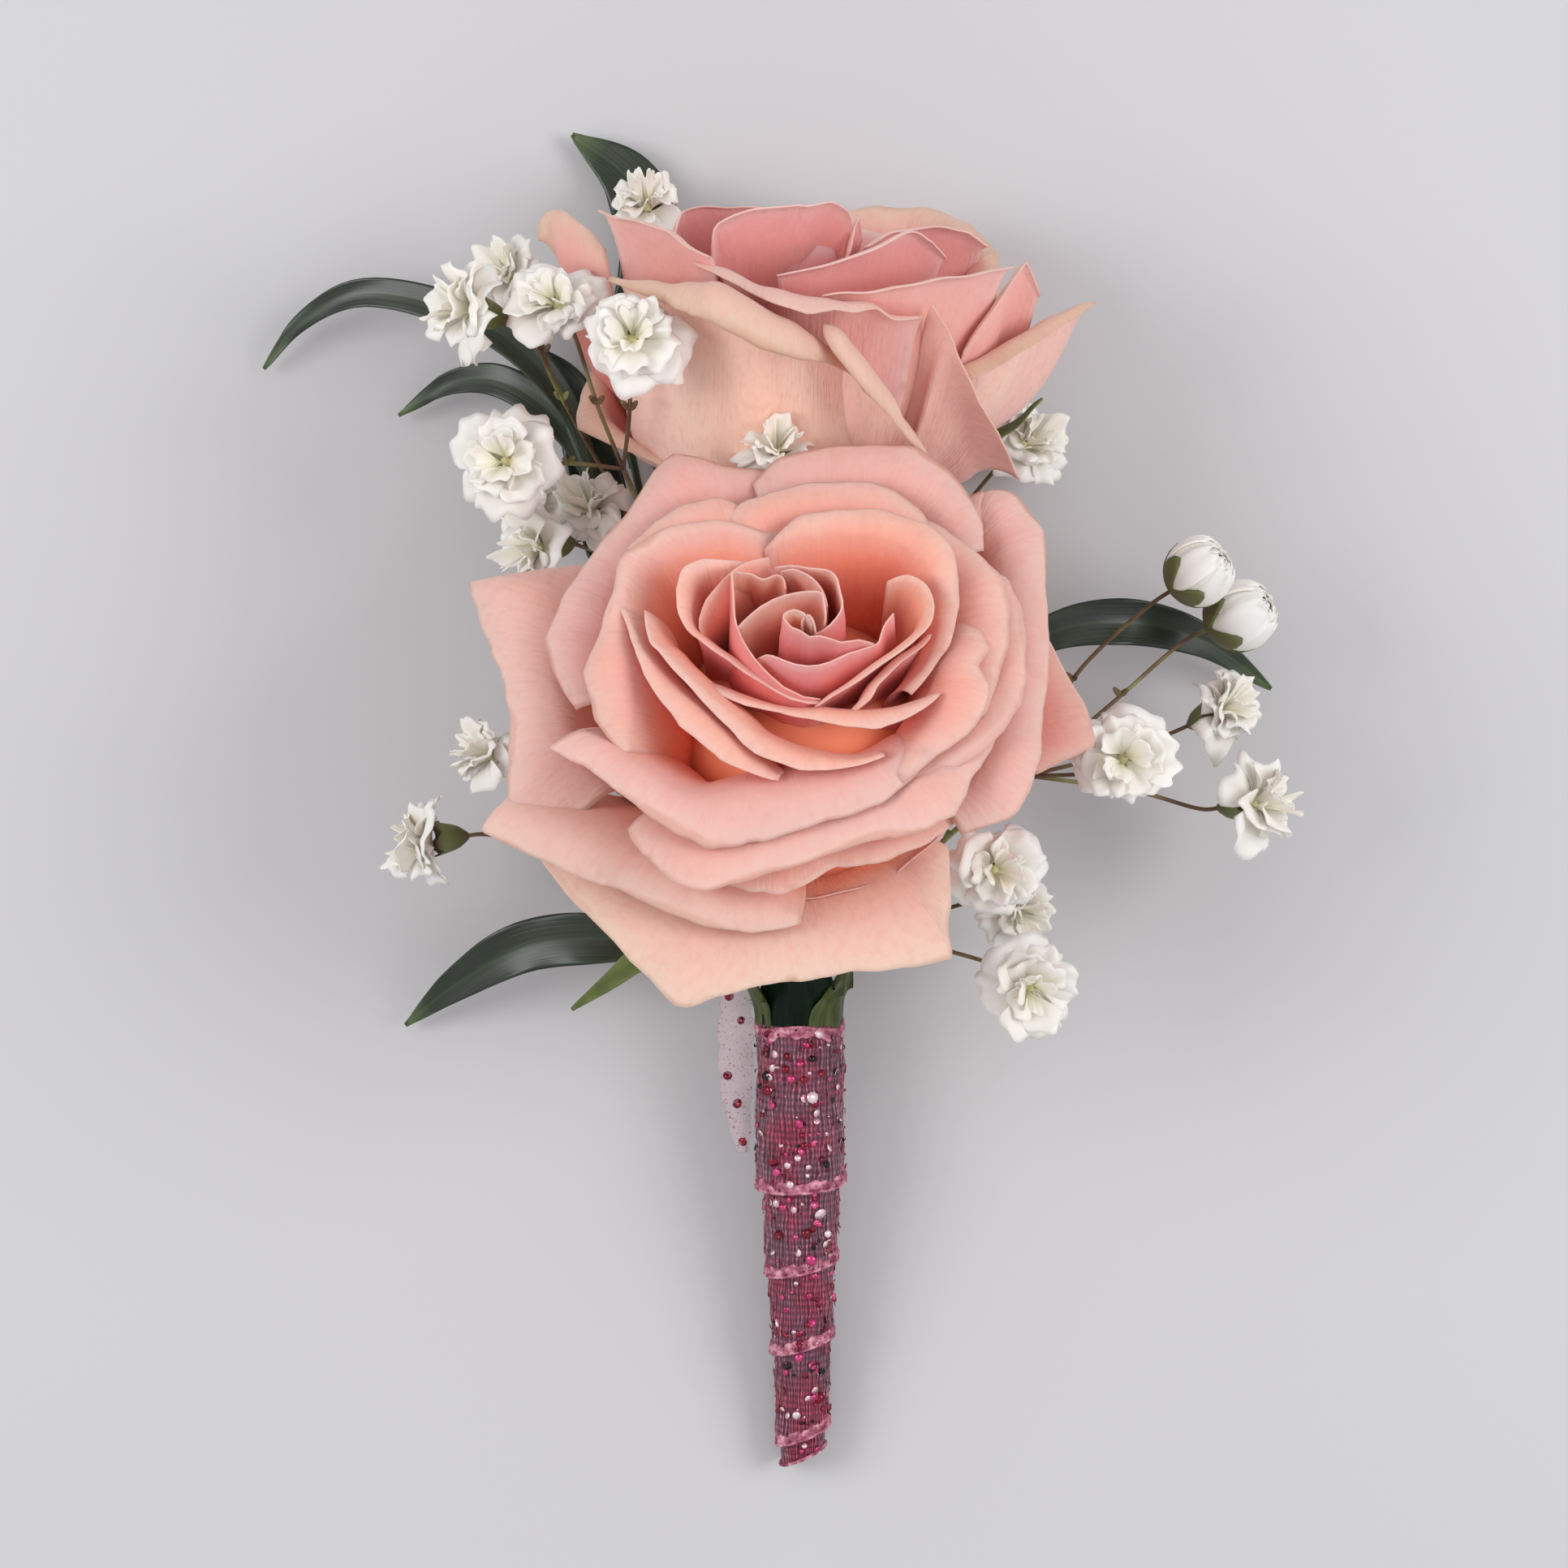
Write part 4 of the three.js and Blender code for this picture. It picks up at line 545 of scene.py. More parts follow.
def colour_steps(tree, place, stops):
    ramp = add_node(tree, "ShaderNodeValToRGB", {"Fac": place})
    elements = ramp.color_ramp.elements
    for _ in stops[2:]:
        elements.new(1.0)
    for element, (position, colour) in zip(elements, stops):
        element.position = position
        element.color = (*colour, 1)
    return ramp.outputs["Color"]


def blended(tree, amount, first, second, kind="MIX"):
    made = add_node(tree, "ShaderNodeMix", {0: amount, 6: first, 7: second},
                    data_type="RGBA", blend_type=kind)
    return made.outputs[2]


def maths(tree, operation, first, second=0.0, clamp=False):
    wires = {0: first, 1: second}
    return add_node(tree, "ShaderNodeMath", wires, operation=operation, use_clamp=clamp).outputs[0]


def past(tree, value, start, slope):
    """How far a value is past its start, times a slope, held between 0 and 1."""
    return maths(tree, "MULTIPLY", maths(tree, "SUBTRACT", value, start, True), slope, True)


def stretched_noise(tree, vector, stretch, scale, detail=3.0):
    mapping = add_node(tree, "ShaderNodeMapping", {"Vector": vector, "Scale": stretch})
    wires = {"Vector": mapping.outputs[0], "Scale": scale, "Detail": detail}
    return add_node(tree, "ShaderNodeTexNoise", wires).outputs[0]


def new_finish(name, roughness, specular=0.4, **plain):
    """A new material. plain holds more numbers for its shader, by socket name with _ for each space."""
    finish = bpy.data.materials.new(name)
    finish.use_nodes = True
    shader = finish.node_tree.nodes["Principled BSDF"]
    for socket, value in dict(plain, Roughness=roughness, Specular_IOR_Level=specular).items():
        shader.inputs[socket.replace("_", " ")].default_value = value
    return finish, finish.node_tree, shader


def cover(tree, shader, colour, relief=None, strength=0.4, depth=0.0002):
    """Gives a finish its colour and, where it has one, its fine relief."""
    tree.links.new(colour, shader.inputs["Base Color"])
    if relief is not None:
        wires = {"Height": relief, "Strength": strength, "Distance": depth}
        tree.links.new(add_node(tree, "ShaderNodeBump", wires).outputs[0], shader.inputs["Normal"])


PALE_STREAK = (0.94, 0.63, 0.55)
DEEP_VEIN = (0.82, 0.32, 0.26)
FADED = (0.86, 0.64, 0.50)
MOTTLE = (0.76, 0.33, 0.28)
ROSY = (0.82, 0.38, 0.42)


def petal_finish(name, folded, opened, scorched):
    """Soft petal: pale at the rim, deeper towards the root, finely veined, dried brown in a few specks.

    folded holds the colours of a heart petal's inside and outside, opened those of an opened petal's lip,
    of its hollow and of its outside.
    """
    finish, tree, shader = new_finish(
        name, 0.62, 0.25, Subsurface_Weight=0.2, Subsurface_Radius=(1.0, 0.5, 0.35), Subsurface_Scale=0.0012,
        Sheen_Weight=0.12)
    rim, age, deep, outside = (mesh_value(tree, key) for key in ("rim", "age", "deep", "outside"))
    grain = mesh_value(tree, "grain", "Vector")
    streak = stretched_noise(tree, grain, (1.0, 0.07, 1.0), 3.4)
    cloud = stretched_noise(tree, grain, (1.0, 1.0, 1.0), 0.16, 2.0)
    mottle = stretched_noise(tree, grain, (1.0, 0.6, 1.0), 1.7, 5.0)
    spots = stretched_noise(tree, grain, (1.0, 1.0, 1.0), 0.5, 4.0)
    loose = maths(tree, "MULTIPLY", maths(tree, "SUBTRACT", cloud, 0.5), 0.2)
    from_rim = maths(tree, "ADD", rim, loose, True)
    from_fold = maths(tree, "ADD", deep, loose, True)
    # Lip and hollow colours meet here. Where a hollow ramp is brighter than the petal, as the front rose's
    # is, it is painted glow of light through and between the petals.
    lip, hollow, back = opened
    over_fold = maths(tree, "MULTIPLY", from_fold, 4.0, True)
    face = blended(tree, over_fold, colour_steps(tree, from_rim, lip), colour_steps(tree, from_fold, hollow))
    inside_colour = blended(tree, age, colour_steps(tree, from_rim, folded[0]), face)
    outside_colour = blended(tree, age, colour_steps(tree, from_rim, folded[1]),
                             colour_steps(tree, from_rim, back))
    colour = blended(tree, outside, inside_colour, outside_colour)
    specks = maths(tree, "MULTIPLY", past(tree, 0.05, rim, 16.0), past(tree, spots, 0.62, 7.0), True)
    for amount, tone in (
        (past(tree, streak, 0.5, 0.4), PALE_STREAK),
        (past(tree, 0.47, streak, 0.6), DEEP_VEIN),
        (mesh_value(tree, "faded"), FADED),
        (past(tree, mottle, 0.48, 1.1), MOTTLE),
        (maths(tree, "MULTIPLY", mesh_value(tree, "tint"), 0.16), ROSY),
        (maths(tree, "MULTIPLY", specks, age, True), scorched),
    ):
        colour = blended(tree, amount, colour, (*tone, 1))
    cover(tree, shader, colour, maths(tree, "ADD", streak, mottle))
    return finish


PEACH_FOLDED = [[
    (0.0, (0.88, 0.55, 0.46)), (0.06, (0.92, 0.47, 0.35)), (0.16, (0.93, 0.37, 0.24)),
    (0.34, (0.90, 0.22, 0.12)), (0.6, (0.82, 0.11, 0.05)), (1.0, (0.66, 0.045, 0.015)),
], [
    (0.0, (0.88, 0.44, 0.42)), (0.05, (0.84, 0.29, 0.28)), (0.2, (0.82, 0.20, 0.19)),
    (0.45, (0.74, 0.10, 0.08)), (1.0, (0.52, 0.03, 0.015)),
]]
# The second list, the hollow, runs up to bright orange. This is partly the rose's own deeper colour towards
# the root and partly painted glow of light shining through and bouncing between the petals.
PEACH_OPENED = [[
    (0.0, (0.66, 0.34, 0.27)), (0.025, (0.80, 0.50, 0.44)), (0.14, (0.79, 0.45, 0.40)),
    (0.4, (0.85, 0.41, 0.35)), (1.0, (0.87, 0.38, 0.30)),
], [
    (0.0, (0.90, 0.43, 0.34)), (0.2, (0.95, 0.39, 0.27)), (0.45, (0.98, 0.36, 0.20)),
    (0.8, (0.98, 0.31, 0.15)), (1.0, (0.96, 0.26, 0.11)),
], [
    (0.0, (0.86, 0.55, 0.50)), (0.2, (0.86, 0.47, 0.41)),
    (0.6, (0.84, 0.36, 0.29)), (1.0, (0.74, 0.20, 0.12)),
]]
front_petal_finish = petal_finish("peach_petal", PEACH_FOLDED, PEACH_OPENED, (0.35, 0.16, 0.05))


def rose_bloom(petals, core, rose, seed, floor=None):
    rng = np.random.default_rng(seed)
    parts = [petal_part(petal, number, rose, rng, floor) for number, petal in enumerate(petals)]
    rings = turned_rings(core, 48, 40)
    under = smooth_step((6 - rings[..., 2]) / 3)
    core_values = dict(rim=0.8 - 0.6 * under, age=0 * under + 1, deep=0.5 - 0.5 * under, outside=under)
    parts.append(ring_body(on_rose(rings, rose), grain=0 * rings, **core_values))
    return parts


FRONT_CORE = [
    (0.1, -0.3), (2.6, -0.2), (6.6, 0.6), (9.0, 3), (10.2, 8), (10.0, 13), (8.8, 16.5), (5, 19.8), (0.1, 21),
]
front_petals = [folded_petal(FRONT_ROSE, FRONT_VIEW, *petal) for petal in FRONT_PETALS]
front_petals += [seen_petal(FRONT_ROSE, WHOLE_VIEW, *petal) for petal in FRONT_HEART]
front_petals += guard_petals(13.6, 12.4, (20, 110)) + guard_petals(13.2, 10.4, (200, 290))
make_piece("front_rose_bloom", rose_bloom(front_petals, FRONT_CORE, FRONT_ROSE, 11), [front_petal_finish],
           ["rose_front_petals"])

# Rear rose. The same kind of rose, a little dustier pink, leaning away so that it shows its side. Two of
# its lower petals lie pressed on the surface and carry it.
REAR_ROSE = dict(base=(-1.0, 47.0, 12.0), tilt=60)
SURFACE_CLEARANCE = 0.28
REAR_VIEW = dict(corner=(660, 220), zoom=2.24)
# Its petals, read off the picture as the front rose's are, but with the depth y known in place of the height
REAR_FOLDED = [
    (dict(OUTER, lean=30, roll=150, spread=0.95, belly=1.38, low=-0.1, tint=0), [
        (201, 263, 203, 282, -6), (300, 270, 290, 318, -9.5), (376, 286, 367, 346, -11.8),
        (480, 296, 430, 376, -13.2), (560, 306, 493, 404, -13.9), (687, 372, 629, 472, -14.6),
        (770, 405, 700, 500, -14.5), (842, 437, 765, 521, -13.9), (905, 500, 868, 540, -12.8),
        (985, 600, 970, 622, -11.6), (1060, 700, 1052, 716, -10.4)
    ]),
    (dict(OUTER, lean=30, roll=150, spread=0.95), [
        (810, 400, 792, 430, -14), (880, 428, 838, 500, -14.7), (948, 480, 884, 580, -15.1),
        (996, 545, 930, 650, -15.1), (1036, 605, 984, 712, -14.8), (1080, 670, 1028, 770, -14.2),
        (1122, 740, 1078, 820, -13.2), (1163, 815, 1140, 862, -11.8)
    ]),
    (dict(OUTER, lean=40, roll=90), [
        (1075, 366, 1090, 350, -10.8), (1108, 480, 1150, 420, -10.8), (1132, 570, 1190, 505, -10.2),
        (1162, 670, 1240, 600, -9.2), (1186, 770, 1295, 720, -8.2), (1204, 860, 1335, 832, -7.2)
    ]),
    (dict(OUTER, lean=35, roll=90), [
        (1172, 486, 1195, 560, -8), (1269, 447, 1308, 500, -5.4), (1386, 389, 1425, 424, -3),
        (1460, 360, 1490, 385, -1.8), (1541, 331, 1545, 345, -0.4)
    ]),
    (dict(MIDDLE, lean=50, roll=110), [
        (440, 222, 436, 236, -9), (500, 238, 490, 262, -10), (560, 262, 545, 290, -11.2),
        (620, 300, 610, 325, -12), (690, 322, 680, 352, -12.6), (765, 334, 758, 374, -12.6),
        (830, 330, 826, 362, -12.5), (881, 336, 880, 372, -12.2), (940, 340, 938, 362, -12),
        (998, 352, 994, 392, -11.4), (1078, 364, 1070, 384, -10.7)
    ]),
]
REAR_SEEN = [
    (dict(MIDDLE, lean=60, roll=60, lips=1.9), [
        (790, 325, -11.8, 0.5), (920, 320, -11.6, 0.8), (1050, 302, -10.4, 1), (1180, 277, -8, 1),
        (1300, 255, -5, 0.6)
    ]),
    (dict(MIDDLE, lean=70, roll=50, lips=1.9), [
        (1180, 470, -7, 0.3), (1240, 390, -5.6, 0.7), (1298, 302, -3.6, 0.8), (1333, 252, -2, 0.7),
        (1385, 330, -1, 0.3)
    ]),
    (dict(OUTER, lean=35), [
        (195, 205, -1.6, 0.6), (140, 152, 0, 1.6), (80, 114, 2.4, 2), (44, 122, 3.4, 2), (28, 178, 3, 0.7)
    ]),
    (dict(MIDDLE, lean=60, roll=60, lips=1.9), [
        (190, 100, -2, 0.5), (250, 122, -4, 0.8), (320, 140, -6, 0.9), (382, 152, -7.6, 0.7),
        (430, 190, -9, 0.7), (485, 225, -10.4, 0.4)
    ]),
    (dict(INNER, roll=30, lips=1.9), [
        (485, 200, -6, 0.3), (508, 145, -5.8, 0.5), (600, 104, -5.6, 0.6), (700, 97, -5.2, 0.6),
        (748, 92, -4.8, 0.5), (805, 86, -3.8, 0.6), (850, 110, -2.8, 0.5), (866, 165, -2.2, 0.3)
    ]),
    (dict(INNER, lean=65, lips=1.9), [
        (668, 272, -9.4, 0.3), (780, 252, -9.6, 0.6), (900, 214, -8.8, 0.8), (1012, 158, -7, 0.5),
        (1070, 190, -5, 0.6), (1120, 224, -3.6, 0.3)
    ]),
    (dict(INNER, lean=70, lips=1.9), [
        (375, 170, -5, 0.3), (398, 105, -2.4, 0.5), (470, 90, 0.6, 0.6), (560, 92, 2.4, 0.5),
        (640, 90, 2.6, 0.3)
    ]),
    (dict(INNER, lean=75, roll=20, lips=1.9), [
        (862, 215, -4, 0.2), (876, 150, -2.4, 0.3), (885, 128, -1.6, 0.4), (897, 182, -1, 0.2)
    ]),
    (dict(INNER, lean=60, lips=1.9), [
        (905, 195, -3, 0.3), (960, 160, -0.6, 0.6), (1060, 150, 2.4, 0.8), (1160, 165, 4.4, 0.8),
        (1235, 195, 4.6, 0.4)
    ]),
]

# The petals that the picture doesn't show: azimuth in degrees, radius, height and the length of the lip
REAR_HIDDEN = [
    dict(OUTER, lean=25, crest=[
        [174, 15, 8, 1.6], [185, 15.6, 6.8, 2], [195, 15.6, 5.6, 3], [207, 13.2, 4.2, 1.6],
        [220, 11.6, 3.2, 1]
    ]),
    dict(OUTER, lean=35, crest=[
        [64, 15, 13, 1.4], [79, 16, 13.8, 2], [91, 16.6, 14.2, 4], [103, 16.2, 13.8, 2.4],
        [118, 15, 13, 1.6]
    ]),
    dict(OUTER, lean=35, crest=[
        [4, 16.4, 15.4, 1.4], [20, 17, 16, 1.8], [36, 17.2, 16.4, 2.2], [50, 17, 16.5, 2.2],
        [62, 15, 16.6, 1.6], [76, 13.4, 16, 1]
    ]),
    dict(OUTER, lean=20, roll=50, crest=[
        [36, 16.4, 8, 2], [48, 18, 8.2, 3], [60, 18.7, 8.2, 3.8], [72, 17.2, 8.2, 3],
        [84, 15.8, 8, 2]
    ]),
    dict(OUTER, lean=20, roll=50, crest=[
        [90, 15.6, 8, 2], [100, 16.6, 8.2, 3], [109, 17.4, 8.2, 3.4], [118, 16.4, 8.2, 2],
        [128, 15.2, 8.4, 1.2]
    ]),
    dict(HEART, crest=[
        [188, 5.2, 19.4, 0.4], [222, 4.6, 20.6, 0.5], [256, 4.4, 21.2, 0.5], [292, 4.2, 21.2, 0.5],
        [330, 4.6, 20, 0.4]
    ]),
    dict(HEART, crest=[
        [330, 4.2, 19.4, 0.4], [380, 4.2, 18.4, 0.5], [440, 4.4, 17, 0.5], [520, 4.8, 17, 0.5],
        [560, 5, 18.4, 0.4]
    ]),
    dict(HEART, crest=[
        [200, 2, 19.6, 0.3], [290, 2.2, 20.2, 0.3], [380, 1.8, 19.2, 0.3], [470, 1.2, 18.4, 0.3]
    ]),
    dict(INNER, crest=[
        [20, 8.4, 18.4, 0.6], [50, 8.8, 17.4, 0.8], [85, 8.6, 16.4, 0.8], [125, 8.4, 16.4, 0.8],
        [160, 8.4, 17.6, 0.6]
    ]),
]
DUSTY_FOLDED = [[
    (0.0, (0.90, 0.60, 0.54)), (0.08, (0.87, 0.45, 0.41)), (0.25, (0.84, 0.32, 0.28)),
    (0.55, (0.78, 0.18, 0.13)), (1.0, (0.60, 0.07, 0.04)),
], [
    (0.0, (0.90, 0.56, 0.54)), (0.1, (0.86, 0.38, 0.37)),
    (0.4, (0.82, 0.28, 0.26)), (1.0, (0.62, 0.10, 0.06)),
]]
# The third list, the outside of opened petals, is lightened almost to full strength. This is partly the
# petals' own pale peach backs and partly painted glow of light shining through them.
DUSTY_OPENED = [[
    (0.0, (0.66, 0.42, 0.30)), (0.05, (0.74, 0.51, 0.39)), (0.26, (0.78, 0.47, 0.38)),
    (0.6, (0.82, 0.44, 0.37)), (1.0, (0.80, 0.36, 0.29)),
], [
    (0.0, (0.86, 0.47, 0.42)), (0.4, (0.84, 0.38, 0.33)), (1.0, (0.76, 0.25, 0.20)),
], [
    (0.0, (0.92, 0.56, 0.50)), (0.15, (0.98, 0.60, 0.52)), (0.5, (1.0, 0.66, 0.54)), (1.0, (1.0, 0.60, 0.47)),
]]
rear_petal_finish = petal_finish("dusty_pink_petal", DUSTY_FOLDED, DUSTY_OPENED, (0.33, 0.17, 0.06))
REAR_CORE = [
    (0.1, -0.3), (2.6, -0.2), (8.0, 0.6), (9.8, 3), (10.0, 7), (8, 10.6), (5.6, 13), (3.0, 15), (0.1, 16),
]
rear_petals = [folded_petal(REAR_ROSE, REAR_VIEW, *petal, sought=2) for petal in REAR_FOLDED]
rear_petals += [seen_petal(REAR_ROSE, REAR_VIEW, *petal, sought=2) for petal in REAR_SEEN]
rear_petals += REAR_HIDDEN + guard_petals(11.0, 12.4, (20, 100, 172, 240, 300))
make_piece("rear_rose_bloom", rose_bloom(rear_petals, REAR_CORE, REAR_ROSE, 23, SURFACE_CLEARANCE),
           [rear_petal_finish], ["rose_rear_petals"])

# Rose stems. Each rose sits on a green hip with five sepals, on a smooth stem that runs down into the
# ribbon; the front rose's stem goes on to the cut end.
WRAP_TOP = np.array([0.0, 0.0, 8.0])
WRAP_END = np.array([0.35, -38.5, 1.78])
WRAP_LENGTH = np.linalg.norm(WRAP_END - WRAP_TOP)
WRAP_AXIS = (WRAP_END - WRAP_TOP) / WRAP_LENGTH
WRAP_SIDE = np.array([1.0, 0.0, 0.0])
WRAP_UP = -unit(np.cross(WRAP_SIDE, WRAP_AXIS))
ROSE_STEM = 0.95
HIP = [(0.1, -6.9), (1.1, -6.8), (1.5, -5.2), (2.7, -3.8), (3.1, -2.4), (2.9, -0.9), (0.1, -1.0)]
LOW_SEPAL = [(1.8, -1.6), (5, -3), (9, -4.4), (12.5, -5)]


def in_wrap(aside, above, down):
    """A place in the ribbon wrap: aside and above its axis, and down from its top edge."""
    return (WRAP_TOP + np.multiply.outer(down, WRAP_AXIS) + np.multiply.outer(aside, WRAP_SIDE)
            + np.multiply.outer(above, WRAP_UP))


def bound_stem(aside, above, depth):
    return [in_wrap(aside, above, down).tolist() for down in (depth, depth / 2, 1, -1.6)]


def curve_through(points, count):
    """A curve through given points that doesn't overshoot where they stand close together."""
    points = np.array(points, float)
    ends = [2 * points[0] - points[1], *points, 2 * points[-1] - points[-2]]
    made = []
    for place in np.linspace(0, len(points) - 1, count):
        i = min(int(place), len(points) - 2)
        f = place - i
        a, b, c, d = ends[i:i + 4]
        first, second, third = (max(np.linalg.norm(q - p)**0.5, 1e-4) for p, q in ((a, b), (b, c), (c, d)))
        leave = ((b - a) / first - (c - a) / (first + second) + (c - b) / second) * second
        reach = ((c - b) / second - (d - b) / (second + third) + (d - c) / third) * second
        made.append(b + leave * f + (3 * (c - b) - 2 * leave - reach) * f**2
                    + (2 * (b - c) + leave + reach) * f**3)
    return np.array(made)


def stalk_rings(points, radius, sides, count):
    """Rings round a path; radius is one number, or a pair for a stalk that tapers."""
    path = curve_through(points, count)
    tangent = unit(np.gradient(path, axis=0))
    side = unit(np.cross(tangent[0], [0.31, 0.22, 0.92]))
    angle = np.linspace(0, 2 * np.pi, sides, endpoint=False)
    sizes = np.linspace(*np.broadcast_to(radius, 2), count)
    rings = []
    for middle, forward, size in zip(path, tangent, sizes):
        side = unit(side - forward * side.dot(forward))
        other = np.cross(forward, side)
        rings.append(middle + size * (np.outer(np.cos(angle), side) + np.outer(np.sin(angle), other)))
    return np.array(rings)


def stalk(points, radius, sides=10, count=60):
    return ring_body(stalk_rings(points, radius, sides, count))


def leaf_blade(spine, half_width, rows=44, fold=12, widest=0.4, facing=(0, 0, 1), wavy=0.12, seed=1):
    """A leaf along its spine: the halves rise from a sunk midrib, and the edges wave a little."""
    rng = np.random.default_rng(seed)
    path = curve_through(spine, rows)
    tangent = unit(np.gradient(path, axis=0))
    side = unit(np.cross(tangent, facing))
    normal = np.cross(side, tangent)
    t = np.linspace(0, 1, rows)
    swell = np.where(t < widest, np.sin(np.pi / 2 * t / widest),
                     np.cos(np.pi / 2 * (t - widest) / (1 - widest)))
    width = 0.12 + (half_width - 0.12) * np.maximum(swell, 0)**0.9
    s = np.linspace(-1, 1, 15)
    lift = math.sin(math.radians(fold)) * np.abs(s)**1.25
    edge_wave = wavy * half_width * waves(t * rows / 2, (9.0, 5.2), rng)[:, None] * np.abs(s)**3
    spread = math.cos(math.radians(fold)) * s
    grid = (path[:, None] + side[:, None] * (width[:, None] * spread)[..., None]
            + normal[:, None] * (width[:, None] * lift + edge_wave)[..., None])
    thickness = 0.14 + 0.26 * (1 - np.abs(s))[None, :] * (1 - 0.6 * t)[:, None]
    aside = s[None, :] * width[:, None]
    upward = t[:, None] + 0 * aside
    grain = np.stack([aside, 20 * upward, 0 * aside], -1)
    return blade(grid, thickness, rib=np.abs(aside), tip=upward, grain=grain)


def solid_cloud(tree, scale):
    """Soft noise that runs through a whole piece, by its place in metres."""
    place = add_node(tree, "ShaderNodeTexCoord").outputs["Object"]
    return stretched_noise(tree, place, (1.0, 1.0, 1.0), scale)


def stem_finish():
    """Fresh rose green, smooth and slightly waxy, paler towards the sepals' edges."""
    finish, tree, shader = new_finish("rose_stem_green", 0.45, Subsurface_Weight=0.1, Subsurface_Scale=0.001)
    cloud = solid_cloud(tree, 420.0)
    colour = colour_steps(tree, cloud, [(0.3, (0.05, 0.085, 0.02)), (0.7, (0.14, 0.20, 0.055))])
    pale = maths(tree, "MULTIPLY", mesh_value(tree, "rib"), 0.3, True)
    cover(tree, shader, blended(tree, pale, colour, (0.26, 0.32, 0.13, 1)), cloud, 0.3)
    return finish


stem_green = stem_finish()


def rose_stem(rose, path, sepals):
    turn = math.radians(rose["tilt"])
    facing = (0, math.sin(turn), math.cos(turn))
    hip = on_rose(turned_rings(HIP, 28, 26), rose)
    parts = [ring_body(hip), stalk(path, ROSE_STEM, 18, 120)]
    for number, (azimuth, half_width, spine) in enumerate(sepals):
        angle = math.radians(azimuth)
        points = on_rose([(r * math.cos(angle), r * math.sin(angle), h) for r, h in spine], rose)
        parts.append(leaf_blade(points, half_width, widest=0.3, facing=facing, seed=number))
    return parts


make_piece("front_rose_stem", rose_stem(FRONT_ROSE, [
    on_rose((0, 0, -5.5), FRONT_ROSE), (0.1, 13, 11.6), (-0.5, 8, 9.1), (-1.1, 4, 8.2),
    in_wrap(-1.2, 0, 1), in_wrap(-1.2, 0, 8), in_wrap(-1.2, 0, 15),
    in_wrap(-0.7, 0, 20.5), in_wrap(-0.3, 0, 25),
    in_wrap(0, 0, 30), in_wrap(0, 0, 34), in_wrap(0, 0, 38),
], [
    (218, 1.5, [(1.8, -1.6), (8, -4.4), (14, -6.2), (19, -6.8), (24, -7.2)]),
    (290, 1.6, LOW_SEPAL), (2, 1.6, LOW_SEPAL), (74, 1.6, [(1.8, -1.6), (5, -2.6), (9, -3), (12, -3)]),
    (146, 1.6, LOW_SEPAL),
]), [stem_green], ["rose_front_stem"])
make_piece("rear_rose_stem", rose_stem(REAR_ROSE, [
    on_rose((0, 0, -5.5), REAR_ROSE),
    (-0.9, 38, 7.2), (-0.5, 30, 5.4), (0.4, 20, 5.2), (0.9, 11, 6.4), (1.15, 5, 7.9),
    in_wrap(1.2, 0, -1.6), in_wrap(1.2, 0, 1), in_wrap(1.2, 0, 8), in_wrap(1.2, 0, 14.5),
], [
    (3, 1.4, [(1.8, -1.6), (8, -2.6), (14, -0.6), (18.4, 2.2), (21.3, 5.2)]),
    (80, 1.6, [(1.8, -1.6), (5, -2.2), (9, -1.6)]), (150, 1.6, [(1.8, -1.6), (5, -2.2), (9, -1.6)]),
    (222, 1.6, LOW_SEPAL), (292, 1.6, LOW_SEPAL),
]), [stem_green], ["rose_rear_stem"])

# Baby's breath. Small double florets of thin white ruffled petals, each in a green cup with five dark
# teeth, on wiry olive-brown stalks with small curled bracts at the forks.
BLOOM_MIDDLE = 3.6
PEDICEL = 0.18
MAIN_STALK = 0.3
STALK_TAPER = 0.75
CALYX = [(0.3, -0.3), (0.9, 0.5), (1.2, 1.4), (1.42, 2.3)]
SEAT = [(0.1, 2.75), (0.4, 2.8), (0.45, 3.1), (0.1, 3.4)]
# The rings of an open floret's petals, outermost first: how far they reach for its size, and the heights at
# which they leave its middle, hold their rims and curl back
RINGS_OF_PETALS = [
    dict(count=5, reach=1.06, floor=2.75, rim=3.5, curl=1.0),
    dict(count=5, reach=0.92, floor=2.9, rim=4.6, curl=0.4),
    dict(count=4, reach=0.7, floor=3.1, rim=5.3, curl=0.1),
    dict(count=4, reach=0.46, floor=3.3, rim=5.7, curl=-0.1),
]
# The closed petals of a bud: the radius of their ball for its size, and how near its top they end
SHELLS_OF_BUD = [
    dict(count=5, ball=0.8, top=0.80), dict(count=5, ball=0.75, top=0.88), dict(count=4, ball=0.66, top=0.95),
]
